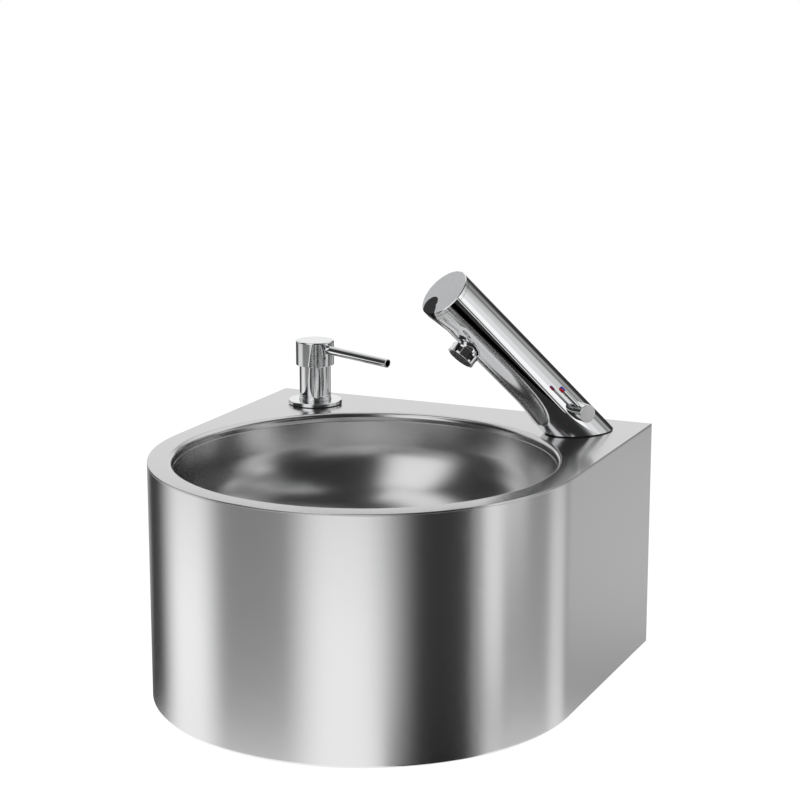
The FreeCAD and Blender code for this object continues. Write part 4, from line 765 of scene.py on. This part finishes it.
def strainer_rims():
    """Pressed rims round the strainer's drain holes, in two rings of 6 and 12."""
    tree = Tree("strainer rims", {"Inner ring": DRAIN_HOLE_R * 0.44, "Inner count": 6,
                                  "Outer ring": DRAIN_HOLE_R * 0.76, "Outer count": 12,
                                  "Rim radius": STRAINER_HOLE_R + 0.35, "Bead radius": 0.4})
    circle = "GeometryNodeCurvePrimitiveCircle"
    path = tree.node(circle, {"Resolution": 32, "Radius": tree.given["Rim radius"]})
    bead = tree.node(circle, {"Resolution": 10, "Radius": tree.given["Bead radius"]})
    rim = tree.node("GeometryNodeCurveToMesh", {"Curve": path.outputs[0], "Profile Curve": bead.outputs[0]})
    joined = tree.node("GeometryNodeJoinGeometry")
    for ring in ("Inner", "Outer"):
        spots = tree.node("GeometryNodeMeshCircle", {"Vertices": tree.given[ring + " count"],
                                                     "Radius": tree.given[ring + " ring"]})
        placed = tree.node("GeometryNodeInstanceOnPoints", {"Points": spots.outputs[0],
                                                            "Instance": rim.outputs[0]})
        tree.group.links.new(placed.outputs[0], joined.inputs[0])
    tree.finish("strainer_rims", joined.outputs[0], FINISHES["strainer steel"],
                AT_BOWL @ place(0, 0, STRAINER_TOP - 0.1), "basin", "strainer_steel")


def winding(name, radius, low, high, pitch, wire, sides, material, where, body, slot, nodes=()):
    """Round wire or ridge that winds about an axis from low to high."""
    tree = Tree(name, {"Radius": radius, "Turns": (high - low) / pitch, "Length": high - low, "Wire": wire,
                       "Sides": sides})
    path = tree.node("GeometryNodeCurveSpiral", {
        "Resolution": 36, "Rotations": tree.given["Turns"], "Start Radius": tree.given["Radius"],
        "End Radius": tree.given["Radius"], "Height": tree.given["Length"]})
    ridge = tree.node("GeometryNodeCurvePrimitiveCircle", {"Resolution": tree.given["Sides"],
                                                           "Radius": tree.given["Wire"]})
    coil = tree.node("GeometryNodeCurveToMesh", {"Curve": path.outputs[0], "Profile Curve": ridge.outputs[0],
                                                 "Fill Caps": True})
    return tree.finish(name, coil.outputs[0], material, where @ place(0, 0, low), body, slot, 40.0, nodes)


def threads():
    """Rolled threads of the soap pump's shank and of the tap's fixing stud."""
    winding("shank_thread", 11.7, -44.0, -3.0, 2.0, 0.7, 6, FINISHES["chrome"], AT_PUMP, "basin",
            "polished_chrome")
    winding("stud_thread", STUD_R - 0.2, -61.0, -2.5, 1.25, 0.45, 6, FINISHES["bright steel"],
            AT_FOOT @ place(0, STUD_BACK, 0), "basin", "plain_steel")


def return_spring():
    """Coil spring under the pump's stem, on a mesh of its own."""
    low, high, turns, wire = 13.2, 30.3, 5, 0.7
    spring = winding("return_spring", 7.2, low, high, (high - low) / turns, wire, 12,
                     FINISHES["bright steel"], AT_PUMP, "basin", "plain_steel", ["return_spring"])
    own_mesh(spring)


def end_cap():
    """Flat round end of the tap with a narrow chamfer."""
    chamfer = 0.6
    profile = [(AXIS, TAP_END), (TAP_R - chamfer, TAP_END), (TAP_R, TAP_END - chamfer), (TAP_R, TAP_BACK),
               (AXIS, TAP_BACK)]
    finish_mesh("end_cap", turned(profile, 120, closed=False), AT_TAP, FINISHES["end face"], "basin",
                ["end_cap"])


def lever():
    """Hub with satin face, rod with a round shoulder, and the two coloured halves of its tip."""
    hub = [(AXIS, HUB_LOW), (HUB_R, HUB_LOW), (HUB_R, HUB_END - 0.5), (HUB_R - 0.3, HUB_END - 0.1),
           (HUB_R - 0.6, HUB_END), (AXIS, HUB_END)]
    made = chrome_turned("lever_hub", hub, 72, AT_HUB, "lever", ["lever_hub"])
    made.data.materials.append(FINISHES["satin chrome"])
    outwards = (AT_HUB.to_3x3() @ Vector((0, 0, 1))).normalized()
    centre = AT_HUB @ Vector((0, 0, HUB_END)) * MM
    for face in made.data.polygons:
        if face.normal.dot(outwards) > 0.9 and (face.center - centre).dot(outwards) > -0.3 * MM:
            face.material_index = 1
    rod = [(AXIS, ROD_LOW), (ROD_R, ROD_LOW), (ROD_R, TIP_LOW - 0.3), (ROD_R - 0.15, TIP_LOW),
           (AXIS, TIP_LOW)]
    chrome_turned("lever_rod", rod, 40, AT_ROD, "lever", ["lever_rod"])
    tip = [(0.0, TIP_LOW), (TIP_R - 0.2, TIP_LOW), (TIP_R, TIP_LOW + 0.3), (TIP_R, TIP_END - 0.5),
           (TIP_R - 0.3, TIP_END - 0.1), (0.0, TIP_END)]
    seam = 0.004                    # turn left free between the two halves, in radians
    for name, side, finish, slot in (("hot_mark", -1, "red", "red_mark"),
                                     ("cold_mark", 1, "blue", "blue_mark")):
        shell = Shell()
        rows = []
        for r, z in tip:
            rows.append([shell.add((r * math.cos(t), side * r * math.sin(t), z), t * r, z)
                         for t in np.linspace(seam, math.pi - seam, 25)])
        shell.rows(rows)
        shell.cap([row[0] for row in rows] + [row[-1] for row in rows[::-1]])
        finish_mesh(name, shell, AT_ROD, FINISHES[finish], "lever", [name])


# ---------------------------------------------------------------- soap pump
def pump():
    """Flange with collar, column, push head and spout."""
    collar_r, ring_r, wall = 15.8, 0.7, 13.0
    flange = [(SHANK_R, 0.8), (FLANGE_R, 0.8), (FLANGE_R, 2.9)] + arc(FLANGE_R - 1.2, 3.1, 1.2, 0, 90, 6)
    flange += [(collar_r + 1.5, 4.3)] + arc(collar_r + 0.4, 5.0, ring_r, -90, 90, 8) + [(collar_r + 0.1, 5.9)]
    flange += arc(collar_r + 0.2, 6.7, ring_r, -80, 90, 8)
    flange += [(collar_r, 7.6), (collar_r, COLUMN_LOW), (SHANK_R, COLUMN_LOW)]
    chrome_turned("soap_flange", flange, 120, AT_PUMP, "basin", ["soap_flange"])
    top = HEAD_LOW + 0.6
    column = [(SHANK_R, COLUMN_LOW), (15.6, COLUMN_LOW), (15.6, 8.6), (COLUMN_R + 0.25, 8.7),
              (COLUMN_R + 0.25, 9.5), (COLUMN_R, 9.7), (COLUMN_R, top - 0.3), (COLUMN_R - 0.35, top),
              (wall, top), (wall, COLUMN_LOW + 3.0), (SHANK_R, COLUMN_LOW + 3.0)]
    chrome_turned("soap_column", column, 96, AT_PUMP, "basin", ["soap_column"])
    bore = SHANK_R - 2.4
    shank = [(bore, SHANK_LOW), (SHANK_R - 0.4, SHANK_LOW), (SHANK_R, SHANK_LOW + 0.5), (SHANK_R, COLUMN_LOW),
             (bore, COLUMN_LOW)]
    chrome_turned("soap_shank", shank, 72, AT_PUMP, "basin")
    inside = COLUMN_R + 0.35
    head = [(AXIS, HEAD_TOP)] + arc(HEAD_R - 1.5, HEAD_TOP - 1.5, 1.5, 90, 0, 6)
    head += [(HEAD_R, HEAD_LOW + 0.3), (HEAD_R - 0.3, HEAD_LOW), (inside, HEAD_LOW),
             (inside, HEAD_LOW + 10.0), (AXIS, HEAD_LOW + 10.0)]
    chrome_turned("soap_head", head, 96, AT_HEAD, "pump_head", ["soap_head"])
    at_spout = AT_HEAD @ place(0, 0, SPOUT_Z) @ Matrix.Rotation(math.pi / 2 + SPOUT_FALL, 4, "Y")
    start, end = 15.0, SPOUT_REACH / math.cos(SPOUT_FALL)
    spout = [(SPOUT_BORE_R, start), (SPOUT_R, start), (SPOUT_R, end - 0.4), (SPOUT_R - 0.15, end - 0.1),
             (SPOUT_R - 0.4, end), (SPOUT_BORE_R, end)]
    chrome_turned("soap_spout", spout, 48, at_spout, "pump_head", ["soap_spout"])


# ---------------------------------------------------------------- finishes of the carried-over nodes
def finish_nodes():
    """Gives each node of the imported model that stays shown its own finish."""
    by_slot = {
        "satin_steel": "sheet steel", "plain_steel": "bright steel", "polished_chrome": "chrome",
        "dark_window": "window", "bottle_plastic": "bottle", "board_green": "board",
        "red_mark": "red", "blue_mark": "blue",
    }
    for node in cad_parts.values():
        for holder in node.material_slots:
            slot = holder.material.name.split(".")[0]
            holder.material = FINISHES[by_slot.get(slot, slot.replace("_", " "))]


# ---------------------------------------------------------------- floor, studio and camera
# metres and levels
FLOOR_Z, FLOOR_R, FLOOR_TONE, FLOOR_GLOW = -1.12, 12.0, 0.55, 0.74
WORLD_LEVEL = 0.55
DRAPE_R = 2.8
DRAPE_MIDDLE = (0.0, -0.22, 0.0)
DRAPE_LEVEL = 0.035
CAMERA_SPOT, CAMERA_LENS = (0.82294, -1.99960, 0.59809), 96.24
CAMERA_TURN, CAMERA_DROP = math.radians(24.07), math.radians(12.59)
# soft boxes and grey sheets hung on the dark drape: compass angle from the front towards the right,
# half width, height angle, half height, soft edge (all in degrees) and level
DRAPE_LIGHTS = {
    "front box": (-11, 22, 31, 28, 20, 0.98),
    "overhead box": (-42, 46, 66, 12, 16, 0.90),
    "rear sheet": (182, 54, 50, 25, 20, 0.88),
    "rear sheet, low": (206, 20, 13, 9, 7, 0.88),
    "right grey sheet": (106, 22, 30, 18, 14, 0.22),
    "left grey sheet": (-114, 24, 30, 20, 16, 0.78),
    "left strip": (-77, 21, -18, 12, 28, 1.22),
    "front left sheet": (-35, 22, -18, 12, 10, 0.27),
    "front strip": (13.5, 24, -18, 12, 32, 1.25),
    "right strip": (90, 6.5, -6, 15, 5, 1.02),
    "right strip's shade": (101, 13, 2, 18, 14, 0.78),
    "right strip's edge": (79.6, 0.7, -18, 14, 0.5, 1.0),
    "right sheet": (114, 20, 9, 13, 16, 0.62),
    "right sheet's end": (146, 9, 15, 9, 12, 0.34),
    "right low sheet": (117, 18, -18, 9, 8, 0.34),
    "rear right strip": (139, 9, -18, 9, 9, 0.80),
    "side sheet": (164, 14, -14, 8, 11, 0.55),
    "rear low sheet": (212, 20, -8, 12, 10, 0.45),
}


def emission_material(name, strength):
    """Finish that gives light, or none at strength 0."""
    made = Finish(name)
    made.nodes.remove(made.shader)
    glow = made.node("ShaderNodeEmission", Strength=strength)
    made.join(glow.outputs["Emission"], made.nodes["Material Output"].inputs["Surface"])
    return made, glow


def seen_directly(nodes, links):
    """1 for rays that bring the background to the camera, to metal and through plastic, else 0."""
    path = nodes.new("ShaderNodeLightPath")
    value = path.outputs["Is Camera Ray"]
    for ray in ("Is Glossy Ray", "Is Transmission Ray"):
        either = nodes.new("ShaderNodeMath")
        either.operation = "MAXIMUM"
        links.new(value, either.inputs[0])
        links.new(path.outputs[ray], either.inputs[1])
        value = either.outputs[0]
    return value


def studio_world():
    """White for what the camera and the metal see, a soft even level for everything else."""
    world = bpy.data.worlds.new("studio")
    bpy.context.scene.world = world
    world.use_nodes = True
    nodes, links = world.node_tree.nodes, world.node_tree.links
    level = nodes.new("ShaderNodeMapRange")
    level.inputs["To Min"].default_value = WORLD_LEVEL
    level.inputs["To Max"].default_value = 1.0
    links.new(seen_directly(nodes, links), level.inputs["Value"])
    background = nodes["Background"]
    background.inputs["Color"].default_value = (1, 1, 1, 1)
    links.new(level.outputs["Result"], background.inputs["Strength"])


def floor():
    """Pale floor well below the basin; white to the camera, and it still takes the shadow."""
    mesh = bpy.data.meshes.new("floor")
    work = bmesh.new()
    bmesh.ops.create_circle(work, cap_ends=True, radius=FLOOR_R, segments=64)
    bmesh.ops.translate(work, verts=work.verts, vec=(0, 0, FLOOR_Z))
    work.to_mesh(mesh)
    work.free()
    made = Finish("floor")
    made.nodes.remove(made.shader)
    diffuse = made.node("ShaderNodeBsdfDiffuse", Color=(FLOOR_TONE, FLOOR_TONE, FLOOR_TONE, 1))
    glow = made.node("ShaderNodeEmission")
    made.join(made.span(seen_directly(made.nodes, made.links), 0.0, FLOOR_GLOW), glow.inputs["Strength"])
    both = made.node("ShaderNodeAddShader")
    made.join(diffuse.outputs["BSDF"], both.inputs[0])
    made.join(glow.outputs["Emission"], both.inputs[1])
    made.join(both.outputs["Shader"], made.nodes["Material Output"].inputs["Surface"])
    mesh.materials.append(made.material)
    piece = bpy.data.objects.new("floor", mesh)
    bpy.context.scene.collection.objects.link(piece)


def reflected_sheet(name, verts, faces, made):
    """A studio sheet that is seen in the metal alone and throws no shadow."""
    mesh = bpy.data.meshes.new(name)
    mesh.from_pydata(verts, [], faces)
    mesh.materials.append(made.material)
    piece = bpy.data.objects.new(name, mesh)
    bpy.context.scene.collection.objects.link(piece)
    piece.visible_camera = False
    piece.visible_diffuse = False
    piece.visible_shadow = False
    piece.visible_transmission = False


def drape():
    """Dark drape round and over the basin, down to the floor, with its soft boxes as patches of light."""
    rings, turns = 40, 96
    low = math.degrees(math.asin((FLOOR_Z + 0.01) / DRAPE_R))
    verts, faces = [], []
    for k in range(rings):
        rise = math.radians(low + (90 - low) * k / rings)
        for i in range(turns):
            t = 2 * math.pi * i / turns
            verts.append((DRAPE_R * math.cos(rise) * math.sin(t),
                          DRAPE_MIDDLE[1] - DRAPE_R * math.cos(rise) * math.cos(t), DRAPE_R * math.sin(rise)))
    for k in range(rings - 1):
        for i in range(turns):
            j = (i + 1) % turns
            faces.append((k * turns + i, k * turns + j, (k + 1) * turns + j, (k + 1) * turns + i))
    top = len(verts)
    verts.append((0, DRAPE_MIDDLE[1], DRAPE_R))
    faces += [((rings - 1) * turns + i, (rings - 1) * turns + (i + 1) % turns, top) for i in range(turns)]
    reflected_sheet("drape", verts, faces, drape_finish())


def drape_finish():
    """Dark finish with soft patches of light, placed by compass and height angle from the drape's middle."""
    made, glow = emission_material("drape", 1.0)

    def math_node(kind, *values):
        step = made.node("ShaderNodeMath", operation=kind)
        for slot, value in zip(step.inputs, values):
            if isinstance(value, (int, float)):
                slot.default_value = value
            else:
                made.join(value, slot)
        return step.outputs[0]

    split = made.node("ShaderNodeSeparateXYZ")
    made.join(made.node("ShaderNodeTexCoord").outputs["Object"], split.inputs["Vector"])
    x = math_node("SUBTRACT", split.outputs["X"], DRAPE_MIDDLE[0])
    forward = math_node("MULTIPLY_ADD", split.outputs["Y"], -1.0, DRAPE_MIDDLE[1])
    z = math_node("SUBTRACT", split.outputs["Z"], DRAPE_MIDDLE[2])
    compass = math_node("DEGREES", math_node("ARCTAN2", x, forward))
    away = math_node("SQRT", math_node("MULTIPLY_ADD", x, x, math_node("MULTIPLY", forward, forward)))
    rise = math_node("DEGREES", math_node("ARCTAN2", z, away))
    level = DRAPE_LEVEL
    for angle, half_width, height, half_height, soft, strength in DRAPE_LIGHTS.values():
        aside = math_node("ABSOLUTE", math_node("WRAP", math_node("SUBTRACT", compass, angle), -180.0, 180.0))
        above = math_node("ABSOLUTE", math_node("SUBTRACT", rise, height))
        across = made.span(aside, strength, 0.0, half_width - soft / 2, half_width + soft / 2, soft=True)
        upward = made.span(above, 1.0, 0.0, half_height - soft / 2, half_height + soft / 2, soft=True)
        level = math_node("MAXIMUM", math_node("MULTIPLY", across, upward), level)
    made.join(level, glow.inputs["Strength"])
    return made


def dark_sheet():
    """Black sheet on the floor to the right, for the long dark stripe down the tap's side."""
    start, end, near, far, count = 28, 79, 0.7, 3.4, 24
    verts, faces = [], []
    for i in range(count + 1):
        t = math.radians(start + (end - start) * i / count)
        for reach in (near, far):
            verts.append((TAP_X * MM + reach * math.sin(t), TAP_Y * MM - reach * math.cos(t),
                          FLOOR_Z + 0.004))
    for i in range(count):
        faces.append((2 * i, 2 * i + 1, 2 * i + 3, 2 * i + 2))
    reflected_sheet("dark_sheet", verts, faces, emission_material("dark sheet", 0.0)[0])


def lamps():
    """Two large soft lamps above, left front and right front."""
    aim = Vector((0, -0.2, 0))
    for name, spot, size, power in (("lamp_left", (-1.6, -1.9, 2.1), 1.6, 22.0),
                                    ("lamp_right", (1.9, -1.2, 2.2), 1.4, 14.0)):
        data = bpy.data.lights.new(name, "AREA")
        data.shape = "DISK"
        data.size = size
        data.energy = power
        lamp = bpy.data.objects.new(name, data)
        lamp.location = spot
        lamp.rotation_euler = (aim - Vector(spot)).to_track_quat("-Z", "Y").to_euler()
        lamp.visible_glossy = False
        bpy.context.scene.collection.objects.link(lamp)


def camera():
    """Camera at the picture's place: 24 degrees to the right, 12.6 degrees down."""
    data = bpy.data.cameras.new("camera")
    data.sensor_width = 36.0
    data.lens = CAMERA_LENS
    data.clip_end = 60.0
    turn, drop = CAMERA_TURN, CAMERA_DROP
    towards = Vector((-math.sin(turn) * math.cos(drop), math.cos(turn) * math.cos(drop), -math.sin(drop)))
    made = bpy.data.objects.new("camera", data)
    made.location = CAMERA_SPOT
    made.rotation_euler = towards.to_track_quat("-Z", "Y").to_euler()
    bpy.context.scene.collection.objects.link(made)
    bpy.context.scene.camera = made


# ---------------------------------------------------------------- making
make_finishes()
camera()
finish_nodes()
deck()
apron()
bowl()
tap_body()
tap_neck()
sensor_window()
end_cap()
strainer_rims()
threads()
return_spring()
lever()
pump()
floor()
drape()
dark_sheet()
lamps()
studio_world()
bpy.context.scene.view_settings.view_transform = "Standard"
